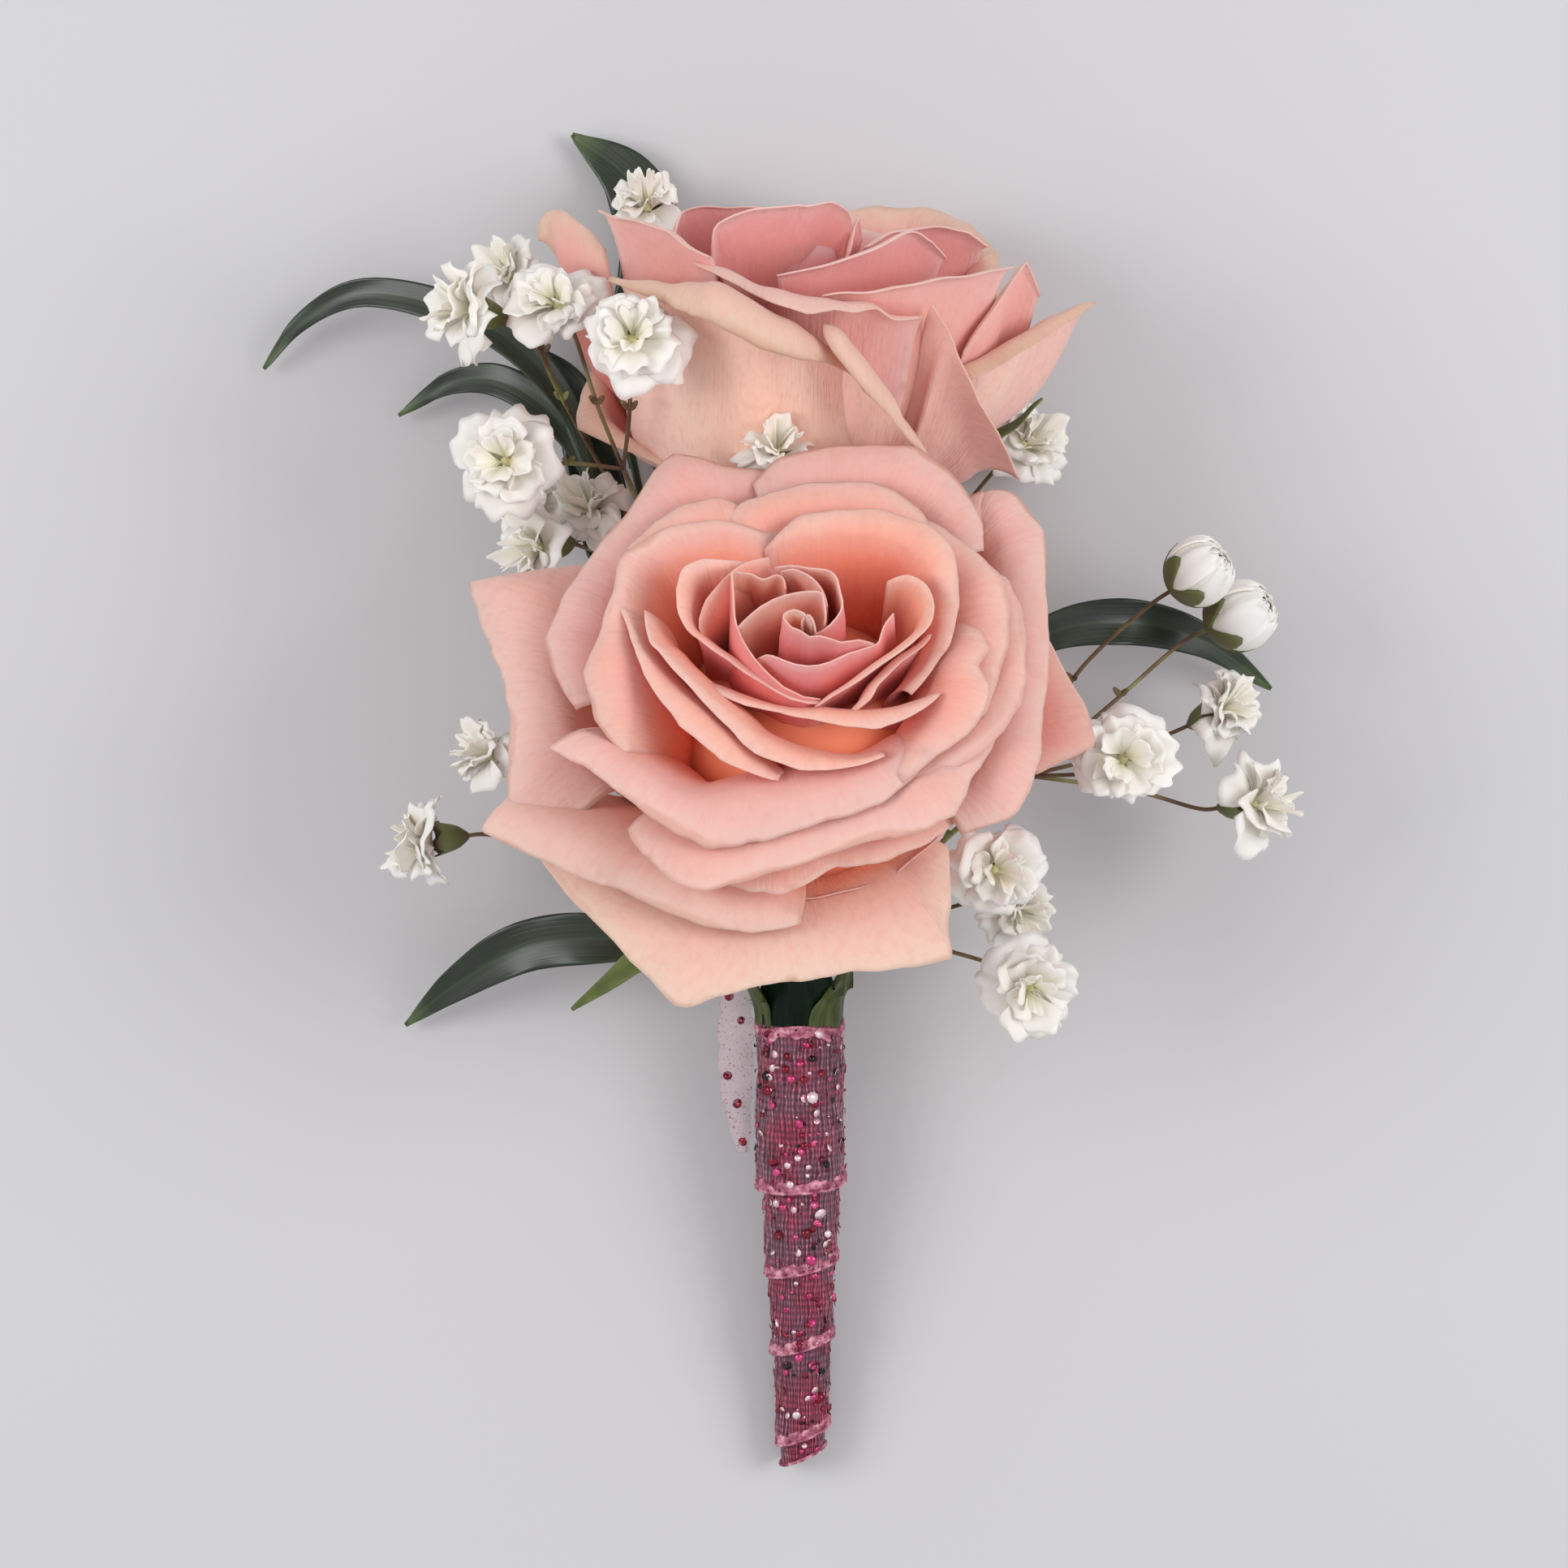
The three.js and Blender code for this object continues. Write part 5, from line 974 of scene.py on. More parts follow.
# Each spray's main stalk, and its florets: middle, size, the way it faces and the start of its own stalk
SPRAYS = [
    dict(
        name="gypsophila_upper_left",
        main=bound_stem(-0.65, 1.95, 12) + [
            [-1.4, 4.6, 10.4], [-4, 12, 11], [-8, 24, 11],
            [-11, 34, 12.5], [-12.8, 41.5, 16], [-14.5, 45.8, 20],
        ],
        florets=[
            dict(at=[-27.3, 58.6, 24], size=4.4, faces=[-1, 0.25, 0.45],
                 path=[[-11, 34, 12.5], [-14.6, 42.6, 10.8], [-19.8, 52, 13.6]]),
            dict(at=[-24.3, 62.4, 15], size=3.6, faces=[-0.5, 0.6, 0.6],
                 path=[[-19.2, 51, 13.2], [-21.4, 56, 12.8]]),
            dict(at=[-19.7, 58.9, 27], size=4.3, faces=[-0.25, 0.45, 0.85],
                 path=[[-14.5, 45.8, 20], [-16.5, 50.8, 24]]),
            dict(at=[-13.4, 55.4, 33], size=4.6, faces=[0.05, 0.25, 0.95],
                 path=[[-14.5, 45.8, 20], [-13.8, 50.2, 25.5]]),
            dict(at=[-24.1, 46.2, 24], size=4.4, faces=[-0.2, 0.05, 0.98],
                 path=[[-14.5, 45.8, 20], [-19, 46.2, 20.6]]),
            dict(at=[-22.9, 43, 9.5], size=3.4, faces=[-0.7, 0.5, 0.5],
                 path=[[-11, 34, 12.5], [-15.5, 38.6, 11]]),
            dict(at=[-17.6, 43, 15], size=3.4, faces=[-0.5, 0.5, 0.7],
                 path=[[-11.3, 35, 12.9], [-13.4, 38.6, 12.6]]),
            dict(at=[-22, 39.4, 17], size=4.2, faces=[-0.8, -0.15, 0.5],
                 path=[[-9.6, 29, 11.8], [-14, 36, 14]]),
        ],
    ),
    dict(
        name="gypsophila_rear",
        main=bound_stem(1.8, 1.45, 10) + [[2.4, 5, 9.9], [4, 12, 10.4], [3, 24, 10.6], [-2, 32, 10.4]],
        florets=[
            dict(at=[-2, 46.8, 28.3], size=3.4, faces=[0.1, 0.5, 0.85],
                 path=[[-2, 32, 10.4], [-5, 38.6, 15], [-4.6, 42, 19.4], [-3.4, 43.4, 21.2]]),
            dict(at=[-13, 69.3, 6.8], size=3.1, faces=[-0.1, 0.8, 0.6],
                 path=[[-2, 32, 10.4], [-8.6, 39, 6.4], [-13.2, 50, 4.2], [-13.6, 59, 3.9]]),
            dict(at=[19.4, 48.9, 6.2], size=3.8, faces=[0.5, 0.4, 0.75],
                 path=[[3, 24, 10.6], [9, 36, 7], [14, 43.4, 3.6]]),
        ],
    ),
    dict(
        name="gypsophila_lower_left",
        main=bound_stem(-1.8, 1.45, 10) + [[-2.7, 4.2, 10.1], [-7, 8, 10.8], [-13, 11.5, 11.6]],
        florets=[
            dict(at=[-31.4, 15.2, 15], size=4.3, faces=[-1, -0.1, 0.2],
                 path=[[-13, 11.5, 11.6], [-20, 14.4, 12.8]]),
            dict(at=[-26.2, 22.5, 15], size=3.2, faces=[-0.8, 0.3, 0.3],
                 path=[[-13, 11.5, 11.6], [-18, 17.5, 12.6]]),
        ],
    ),
    dict(
        name="gypsophila_right",
        main=bound_stem(0.65, 1.95, 12) + [
            [1.7, 4.4, 10.8], [6.5, 9.5, 12], [13, 16, 12.6], [19, 20.6, 13.6],
        ],
        florets=[
            dict(at=[33.1, 37.5, 17], size=3.5, faces=[0.8, 0.55, 0.35], bud=True,
                 path=[[19, 20.6, 13.6], [22.8, 28.6, 13]]),
            dict(at=[36.9, 34.1, 13], size=3.7, faces=[0.85, 0.4, 0.35], bud=True,
                 path=[[19, 20.6, 13.6], [26.9, 27.3, 12.2]]),
            dict(at=[35.7, 26.2, 12], size=3.8, faces=[0.75, 0.35, 0.55],
                 path=[[19, 20.6, 13.6], [27, 22.6, 13.4]]),
            dict(at=[38.3, 18.3, 15], size=4.1, faces=[0.85, 0.1, 0.5],
                 path=[[19, 20.6, 13.6], [28, 19.3, 14.6]]),
            dict(at=[26, 21.9, 29], size=4.5, faces=[0.05, -0.05, 1],
                 path=[[19, 20.6, 13.6], [23.6, 20.8, 18]]),
            dict(at=[15.8, 12.9, 26], size=4, faces=[0.25, -0.1, 0.96],
                 path=[[8, 11, 12.2], [12.4, 12.4, 17]]),
            dict(at=[18.3, 9.2, 13.5], size=3.4, faces=[0.5, -0.2, 0.8],
                 path=[[6.5, 9.5, 12], [12, 9.4, 10.6]]),
            dict(at=[18.9, 3.1, 21], size=4.5, faces=[0.25, -0.25, 0.93],
                 path=[[3.6, 6.4, 11.4], [9.4, 6.6, 14]]),
        ],
    ),
]


def facing_axes(faces):
    """Three axes of a floret: the third is the way that it looks."""
    axis = unit(np.array(faces, float))
    side = unit(np.cross([0.12, 0.97, 0.2], axis))
    return np.stack([side, np.cross(axis, side), axis])


def white_blade(grid, t, far, rng):
    """A petal from its grid, thinner towards its end; far sets how white it is, from its foot on."""
    far = np.broadcast_to(far, grid.shape[:2])
    return blade(grid, 0.09 - 0.03 * t, far=far, age=rng.uniform(0, 1) + 0 * far)


def on_ball(radius, polar, turn):
    """Places on a bud's ball, polar being the angle up from its foot."""
    return round_axis(radius * np.sin(polar), turn, BLOOM_MIDDLE - radius * np.cos(polar))


def floret_petal(size, ring, azimuth, rng):
    """A white petal with a narrow claw and a broad, notched and crumpled end."""
    s = np.linspace(-1, 1, 21)
    t = np.linspace(0, 1, 9)[:, None]
    reach = size * ring["reach"] * rng.uniform(0.72, 1.05)
    width = reach * rng.uniform(0.75, 1.15) * smooth_step(t * 1.15)**0.75
    notch = 1 - 0.05 * np.cos(rng.choice([2, 3]) * np.pi * s + rng.uniform(-0.8, 0.8)) * t - 0.16 * t * s**4
    ragged = 1 - 0.035 * np.sin(s * rng.uniform(9, 13) + rng.uniform(0, 6.28)) * t**3
    radius = 0.25 + (reach - 0.25) * t * notch * ragged
    fold = 0.66 * np.sin(s * rng.uniform(2.0, 3.8) + rng.uniform(0, 6.28)) * t**1.1
    crumple = 0.21 * np.sin(s * rng.uniform(6, 9) + t * 3 + rng.uniform(0, 6.28)) * t**1.5
    pleat = 0.06 * np.sin(s * rng.uniform(13, 17) + rng.uniform(0, 6.28)) * t**0.7
    height = (ring["floor"] + (ring["rim"] - ring["floor"]) * np.sin(np.pi / 2 * t)**1.2
              - ring["curl"] * t**4 + fold + crumple + pleat + rng.uniform(-0.8, 0.8) * t)
    turn = azimuth + np.arctan2(width * s, radius + 0.35) + 0.16 * t * rng.uniform(-1, 1)
    return white_blade(round_axis(radius, turn, height), t, t * ring["reach"], rng)


def bud_petal(size, shell, azimuth, rng):
    """A petal that is still closed, one of the overlapping shells of a round bud."""
    s = np.linspace(-1, 1, 21)
    t = np.linspace(0, 1, 12)[:, None]
    ragged = 0.03 * np.cos(rng.choice([2, 3]) * np.pi * s + rng.uniform(-0.8, 0.8)) + 0.07 * s**4
    polar = np.pi * (0.1 + (shell["top"] - 0.1 - ragged) * t)
    crumple = 0.03 * np.sin(s * rng.uniform(7, 10) + t * 4 + rng.uniform(0, 6.28)) * t
    radius = size * shell["ball"] * (1 + 0.045 * s + crumple)
    return white_blade(on_ball(radius, polar, azimuth + 0.85 * s), t, 0.4 + 0.6 * t, rng)


def floret(size, rng, bud):
    rings, make_petal = (SHELLS_OF_BUD, bud_petal) if bud else (RINGS_OF_PETALS, floret_petal)
    parts = []
    for ring in rings:
        start = rng.uniform(0, 6.28)
        for k in range(ring["count"]):
            azimuth = start + (k + rng.uniform(-0.42, 0.42)) * 2 * np.pi / ring["count"]
            parts.append(make_petal(size, ring, azimuth, rng))
    return parts + [ring_body(turned_rings(SEAT, 12, 8))]


def calyx_cup():
    """An open floret's cup: its outside up to five teeth, then down its inside to the floor."""
    angle = np.linspace(0, 2 * np.pi, 30, endpoint=False)
    tooth = np.abs(np.cos(2.5 * angle))
    outside = [(radius, height) for radius, height in along(CALYX, np.linspace(0, 1, 7))]
    inside = [(1.5, 2.0 + 0.75 * tooth), (1.36, 1.98 + 0.7 * tooth), (1.2, 2.1), (0.05, 2.05)]
    rings = np.array([round_axis(radius, angle, height) for radius, height in outside + inside])
    height = rings[..., 2]
    return ring_body(rings, finish=1, far=(height - height.min()) / (height.max() - height.min()))


def bud_calyx(ball):
    """The cup of a bud: five narrow sepals that hug the ball's lower half."""
    angle = np.linspace(0, 2 * np.pi, 40, endpoint=False)
    tooth = np.abs(np.cos(2.5 * angle))**1.6
    rows = [(1.09 * ball, share) for share in np.linspace(0, 1, 9)]
    rows += [(0.98 * ball, share) for share in np.linspace(1, 0, 9)]
    rings = [on_ball(radius, np.pi * (0.03 + (0.2 + 0.26 * tooth) * share), angle) for radius, share in rows]
    far = np.array([[0.25 * share] for _, share in rows]) + 0 * angle
    return ring_body(np.array(rings), finish=1, far=far)


def floret_finish():
    """Thin white petal with a faint green heart and a cream tint on the older ones."""
    finish, tree, shader = new_finish(
        "babys_breath_white", 0.6, 0.3, Subsurface_Weight=0.3, Subsurface_Radius=(1.0, 0.9, 0.7),
        Subsurface_Scale=0.0008)
    colour = colour_steps(tree, mesh_value(tree, "far"), [
        (0.0, (0.70, 0.66, 0.36)), (0.12, (0.86, 0.83, 0.62)),
        (0.3, (0.96, 0.92, 0.83)), (1.0, (0.99, 0.96, 0.91)),
    ])
    old = maths(tree, "MULTIPLY", mesh_value(tree, "age"), 0.3)
    cover(tree, shader, blended(tree, old, colour, (0.92, 0.82, 0.68, 1)))
    return finish


def stalk_finish():
    """Wiry stalk, cloudy from purple-brown to olive green."""
    finish, tree, shader = new_finish("babys_breath_stalk", 0.5)
    cloud = solid_cloud(tree, 260.0)
    cover(tree, shader, colour_steps(tree, cloud, [
        (0.32, (0.085, 0.035, 0.024)), (0.52, (0.15, 0.095, 0.04)), (0.72, (0.24, 0.25, 0.09)),
    ]), cloud)
    return finish


def calyx_finish():
    """Olive cup, browner at its foot, with purple-brown teeth."""
    finish, tree, shader = new_finish("babys_breath_calyx", 0.5)
    cover(tree, shader, colour_steps(tree, mesh_value(tree, "far"), [
        (0.0, (0.13, 0.09, 0.04)), (0.3, (0.11, 0.13, 0.04)),
        (0.72, (0.18, 0.22, 0.08)), (1.0, (0.11, 0.025, 0.03)),
    ]))
    return finish


floret_white = floret_finish()
spray_finishes = [stalk_finish(), calyx_finish()]
bloom_number = 0
for spray_number, spray in enumerate(SPRAYS):
    rng = np.random.default_rng(40 + spray_number)
    green = [stalk(spray["main"], (MAIN_STALK, MAIN_STALK * STALK_TAPER), 8, 70)]
    for flower in spray["florets"]:
        bloom_number += 1
        bud = flower.get("bud", False)
        axes = facing_axes(flower["faces"])
        foot = np.array(flower["at"]) - BLOOM_MIDDLE * axes[2]
        neck = 1.0 if bud else 0.1
        ends = [(foot - 1.6 * axes[2]).tolist(), (foot + neck * axes[2]).tolist()]
        green.append(stalk(flower["path"] + ends, PEDICEL, 7, 30))
        green.append(bud_calyx(flower["size"] * SHELLS_OF_BUD[0]["ball"]) if bud else calyx_cup())
        green[-1]["points"] = foot + green[-1]["points"] @ axes
        fork = np.array(flower["path"][-1])
        for way in (-1, 1):
            tip = fork + np.array([way * 0.5, 0.5, 0.8]) * rng.uniform(0.6, 1.3)
            green.append(leaf_blade([fork, (fork + tip) / 2 + [0, 0, -0.2], tip], 0.26, rows=8, wavy=0))
        white = floret(flower["size"], rng, bud)
        for part in white:
            part["points"] = foot + part["points"] @ axes
        make_piece(f"floret_{bloom_number:02d}", white, [floret_white],
                   [f"gypsophila_bloom_{bloom_number:02d}"])
    make_piece(spray["name"] + "_stalks", green, spray_finishes, [spray["name"]])

# Narrow leaves. Tough, near-black green blades with a pale edge and a soft gloss, on thin stems bound in
# with the rest; three at the upper left, one behind the rear rose, one at the right, one at the lower left.
LEAF_STEM_TAPER = 0.7
LEAVES = [
    dict(
        name="ruscus_upper_left", radius=0.5,
        stem=bound_stem(-0.7, -1.9, 12) + [
            [-2, 6.5, 5.2], [-7, 18, 4.6], [-12.5, 32, 5.5], [-16.6, 43, 8], [-19.6, 50.4, 8.6],
        ],
        blades=[
            dict(spine=[[-16.6, 43, 8], [-19.5, 51.8, 9], [-24.5, 57.4, 8.8],
                        [-30.5, 60.4, 8], [-37.5, 61.6, 6], [-42.6, 59.4, 3.4], [-46, 55.6, 1.4]],
                 half_width=1.5),
            dict(spine=[[-16, 41.6, 7.6], [-19.6, 49.8, 7.4], [-25.1, 54, 6.4],
                        [-29.6, 54.2, 4], [-34.4, 51.6, 1.4]],
                 half_width=1.5),
            dict(spine=[[-12.5, 32, 5.5], [-15.4, 38.2, 5.4], [-17.6, 47, 5.4],
                        [-19.8, 54, 5], [-24.6, 57.8, 4.6]],
                 half_width=2.4),
        ],
    ),
    dict(
        name="ruscus_top", radius=0.5,
        stem=bound_stem(0.7, -1.9, 12) + [[0.1, 7.5, 4.2], [-5, 22, 2.6], [-11.4, 36, 2], [-14.8, 50, 1.7]],
        blades=[dict(spine=[
            [-14.4, 47, 1.7], [-14.6, 57, 1.8], [-12.8, 66, 2.2], [-14.5, 71.6, 2.2], [-19.5, 75.7, 1.5],
        ], half_width=2.8, widest=0.62, fold=8)],
    ),
    dict(
        name="ruscus_right", radius=0.45,
        stem=bound_stem(1.8, -1.5, 10) + [[3.6, 6.6, 4.8], [9, 17, 4.6], [15, 27, 7.4], [20.8, 32.4, 9.4]],
        blades=[dict(spine=[[15, 27, 8], [20.8, 32.4, 9.4], [27.1, 33.6, 8.6],
                            [34.1, 32.2, 5.6], [40.5, 28.1, 1.6]],
                     half_width=2, widest=0.5)],
    ),
    dict(
        name="ruscus_lower_left", radius=0.45,
        stem=bound_stem(-1.8, -1.5, 10) + [[-3, 3.8, 6], [-7, 5.4, 6.6], [-12, 6.4, 8]],
        blades=[dict(spine=[[-7, 5.4, 7], [-15.4, 6.8, 8.6], [-23, 6.2, 7.4],
                            [-29, 3, 4.4], [-33.8, -0.8, 1.2]],
                     half_width=2.3)],
    ),
]


def dark_leaf_finish():
    """Near-black green, lighter along the midrib and at the tip, with fine lengthwise veins and a gloss."""
    finish, tree, shader = new_finish("dark_leaf", 0.4, 0.35, Coat_Weight=0.6, Coat_Roughness=0.28)
    grain = mesh_value(tree, "grain", "Vector")
    veins = stretched_noise(tree, grain, (3.2, 0.05, 1.0), 1.4)
    cloud = stretched_noise(tree, grain, (1, 0.3, 1), 0.5)
    from_rib = maths(tree, "MULTIPLY", mesh_value(tree, "rib"), 3.0)
    colour = colour_steps(tree, cloud, [(0.35, (0.005, 0.011, 0.004)), (0.7, (0.014, 0.028, 0.008))])
    for amount, tone in (
        (past(tree, veins, 0.5, 0.9), (0.045, 0.09, 0.03)),
        (maths(tree, "SUBTRACT", 0.6, from_rib, True), (0.03, 0.06, 0.018)),
        (past(tree, mesh_value(tree, "tip"), 0.88, 4.0), (0.16, 0.24, 0.07)),
    ):
        colour = blended(tree, amount, colour, (*tone, 1))
    cover(tree, shader, colour, veins, 0.5, 0.00015)
    return finish


dark_leaf = dark_leaf_finish()
for number, sprig in enumerate(LEAVES):
    parts = [stalk(sprig["stem"], (sprig["radius"], sprig["radius"] * LEAF_STEM_TAPER), 10, 70)]
    parts += [leaf_blade(seed=number * 5 + k, **leaf) for k, leaf in enumerate(sprig["blades"])]
    make_piece(sprig["name"] + "_leaves", parts, [dark_leaf], [sprig["name"]])

# Neck leaves. Three short leaf pieces bound in at the top of the ribbon to cover the stems: a dark glossy one
# in the middle, darkened further with painted shade from the rose above it, and olive ones at its left and
# right.
def neck_finish(name, roughness, specular, dark, light):
    """Smooth leaf, cloudy along its length."""
    finish, tree, shader = new_finish(name, roughness, specular)
    cloud = stretched_noise(tree, mesh_value(tree, "grain", "Vector"), (2.6, 0.2, 1.0), 1.1)
    cover(tree, shader, colour_steps(tree, cloud, [(0.35, dark), (0.7, light)]))
    return finish


olive_leaf = neck_finish("olive_leaf", 0.4, 0.3, (0.030, 0.045, 0.010), (0.10, 0.125, 0.03))
# The middle leaf's near-black is partly its own dark green and partly painted shade from the rose that
# overhangs it.
shaded_glossy_leaf = neck_finish("glossy_dark_leaf_painted_shade", 0.24, 0.12, (0.002, 0.006, 0.003), (0.006, 0.018, 0.009))
# turn is the part of the way round that each covers, in degrees from the right, and held the line in it that
# runs straight up; tip is how wide it ends, and flare how far it bends out there
NECK_LEAVES = [
    dict(node="neck_leaf_dark", turn=(34, 150), held=92, radius=3.4, flare=0.9, length=6.4, tip=0.75,
         finish=shaded_glossy_leaf),
    dict(node="neck_leaf_right", turn=(-10, 78), held=-4, radius=3.5, flare=1.0, length=5.2, tip=0.5,
         finish=olive_leaf),
    dict(node="neck_leaf_left", turn=(132, 200), held=176, radius=3.5, flare=2.0, length=4.8, tip=1.2,
         finish=olive_leaf),
]
for leaf in NECK_LEAVES:
    start, stop = leaf["turn"]
    t = np.linspace(-0.04, 1, 24)[:, None]
    s = np.linspace(-0.5, 0.5, 23)[None, :]
    narrow = 1 - (1 - leaf["tip"]) * t**2
    angle = np.radians(leaf["held"] + ((start + stop) / 2 + (stop - start) * s - leaf["held"]) * narrow)
    spread = leaf["radius"] + leaf["flare"] * t**2 + 0.12 * np.cos(4 * np.pi * s)
    up = -leaf["length"] * t * (1 - 0.5 * (2 * s)**4 * t)
    grid = (WRAP_TOP + (spread * np.cos(angle))[..., None] * WRAP_SIDE
            + (spread * np.sin(angle))[..., None] * WRAP_UP + up[..., None] * WRAP_AXIS)
    thickness = 0.2 + 0.25 * (1 - np.abs(2 * s)**2) * (1 - 0.5 * t)
    across = np.abs(s) * 2 * leaf["length"] / 3 + 0 * t
    grain = np.stack([across, 6 * t + 0 * across, 0 * across], -1)
    blade_part = blade(grid[:, ::-1], thickness, rib=across, tip=t * 0.8 + 0 * across, grain=grain)
    make_piece(leaf["node"] + "_blade", [blade_part], [leaf["finish"]], [leaf["node"]])

# Ribbon wrap. A strip of plum-pink ribbed mesh with a bright selvage and sewn-on sequins, wound down the
# stems in five overlapping turns, each narrower than the last, and tucked in at the cut end.
TURNS = [
    dict(top=0.0, bottom=14.2, wide=(3.62, 3.72), tilt=0.25),
    dict(top=12.6, bottom=21.4, wide=(3.2, 3.02), tilt=0.7),
    dict(top=19.8, bottom=28.2, wide=(2.72, 2.62), tilt=0.8),
    dict(top=26.6, bottom=36.2, wide=(2.34, 2.2), tilt=0.9),
    dict(top=34.6, bottom=WRAP_LENGTH - 1.0, wide=(1.92, 1.86), tilt=0.9),
]
RIBS = 44
SIDES = RIBS * 4
FINE_RIBS = 66
RIB_DEPTH = 0.07
ROW_HEIGHT = 0.34
STRIP_THICKNESS = 0.4
SELVAGE = 0.16
BAND_WIDTH = 0.85


def wrap_point(radius, angle, down):
    return in_wrap(radius * np.cos(angle), radius * np.sin(angle), down)


def turn_radius(turn, share):
    upper, lower = turn["wide"]
    return upper + (lower - upper) * share


def ribbon_turn(turn):
    """One turn of the strip: a sleeve of standing ribs, creased where it was pulled tight."""
    angle = np.linspace(0, 2 * np.pi, SIDES, endpoint=False)[None, :]
    t = np.linspace(0, 1, int((turn["bottom"] - turn["top"]) / ROW_HEIGHT))[:, None]
    down = turn["top"] + (turn["bottom"] - turn["top"] - turn["tilt"] * np.cos(angle)) * t
    drift = 0.9 * np.sin(down * 0.8 + 3 * angle) + 0.6 * np.sin(down * 1.7 - 7 * angle)
    rib = np.cos(RIBS * angle + drift) * (0.75 + 0.25 * np.sin(down * 1.3 + 5 * angle))
    crease = (0.12 * np.sin(3 * angle + down * 0.5) + 0.09 * np.sin(5 * angle - down * 1.1)
              + 0.07 * np.sin(9 * angle + down * 1.9) + 0.05 * np.sin(2 * angle - down * 3.1))
    radius = turn_radius(turn, t) + RIB_DEPTH * rib + crease * 0.6
    outside = wrap_point(radius, angle, down)
    inside = wrap_point(radius - STRIP_THICKNESS, angle, down)[::-1]
    weave = np.stack([FINE_RIBS * angle / (2 * np.pi) + 0 * t, down, 0 * down], -1)
    return ring_body(np.concatenate([outside, inside]), closed=True,
                     rib=np.concatenate([rib, rib[::-1]]) / 2 + 0.5,
                     grain=np.concatenate([weave, weave[::-1]]))


def strip_edge(turn, angle, at_top):
    """How far down the wrap the strip's edge runs, and how far out it lies."""
    if at_top:
        return turn["top"] + 0.25 * np.sin(3 * angle) + 0.2, turn["wide"][0]
    return turn["bottom"] - turn["tilt"] * np.cos(angle), turn["wide"][1]


def edge_band(turn, at_top=False):
    """The strip's lighter, closely knitted edge, a flat band beside the selvage."""
    angle = np.linspace(0, 2 * np.pi, SIDES, endpoint=False)[None, :]
    share = np.linspace(0, 1, 9)[:, None]
    ragged = 0.12 * np.sin(9 * angle) + 0.07 * np.sin(23 * angle + 1)
    edge, middle = strip_edge(turn, angle, at_top)
    down = edge - (BAND_WIDTH - ragged) * (1 - share)
    if at_top:
        down = edge + (BAND_WIDTH + 1.2 * ragged) * share
        middle += 0.02
    radius = (middle + 0.05 + 0.1 * np.sin(np.pi * share)**0.5 + 0.05 * np.cos(RIBS * angle)
              + 0.05 * np.sin(13 * angle + 4 * share))
    outside = wrap_point(radius, angle, down)
    inside = wrap_point(middle - 0.1 + 0 * radius, angle, down)[::-1]
    return ring_body(np.concatenate([outside, inside]), closed=True, finish=1)


def selvage(turn, at_top=False):
    """The corded edge of the strip, one closed ring of twisted thread."""
    angle = np.linspace(0, 2 * np.pi, 120, endpoint=False)[:, None]
    section = np.linspace(0, 2 * np.pi, 8, endpoint=False)
    down, middle = strip_edge(turn, angle, at_top)
    middle += 0.05 if at_top else 0.08
    twist = SELVAGE * (1 + 0.18 * np.sin(angle * 46 + section * 2))
    rings = wrap_point(middle + twist * np.cos(section), angle, down - twist * np.sin(section))
    return ring_body(rings, closed=True, finish=1)


def sequin(place, normal, size, rng, finish):
    """A thin cupped disc with a pinhole dimple, tipped a little off the cloth."""
    tipped = unit(normal + rng.normal(0, 0.3, 3))
    side = unit(np.cross(tipped, [0.2, 0.5, 0.8]))
    other = np.cross(tipped, side)
    angle = np.linspace(0, 2 * np.pi, 9, endpoint=False)
    rows = [(0.03, -0.035), (0.98, 0.0), (1.0, 0.035), (0.03, -0.005)]
    rings = np.array([place + size * (r * (np.outer(np.cos(angle), side) + np.outer(np.sin(angle), other))
                                      + (h / 0.45) * tipped) for r, h in rows])
    return ring_body(rings, finish=finish)


def on_turn(turn, share, angle, proud):
    """A place on a turn of the ribbon, a little proud of it, and the way that the ribbon faces there."""
    down = turn["top"] + (turn["bottom"] - turn["top"]) * share
    place = wrap_point(turn_radius(turn, share) + proud, angle, down)
    return place, unit(np.cos(angle) * WRAP_SIDE + np.sin(angle) * WRAP_UP)


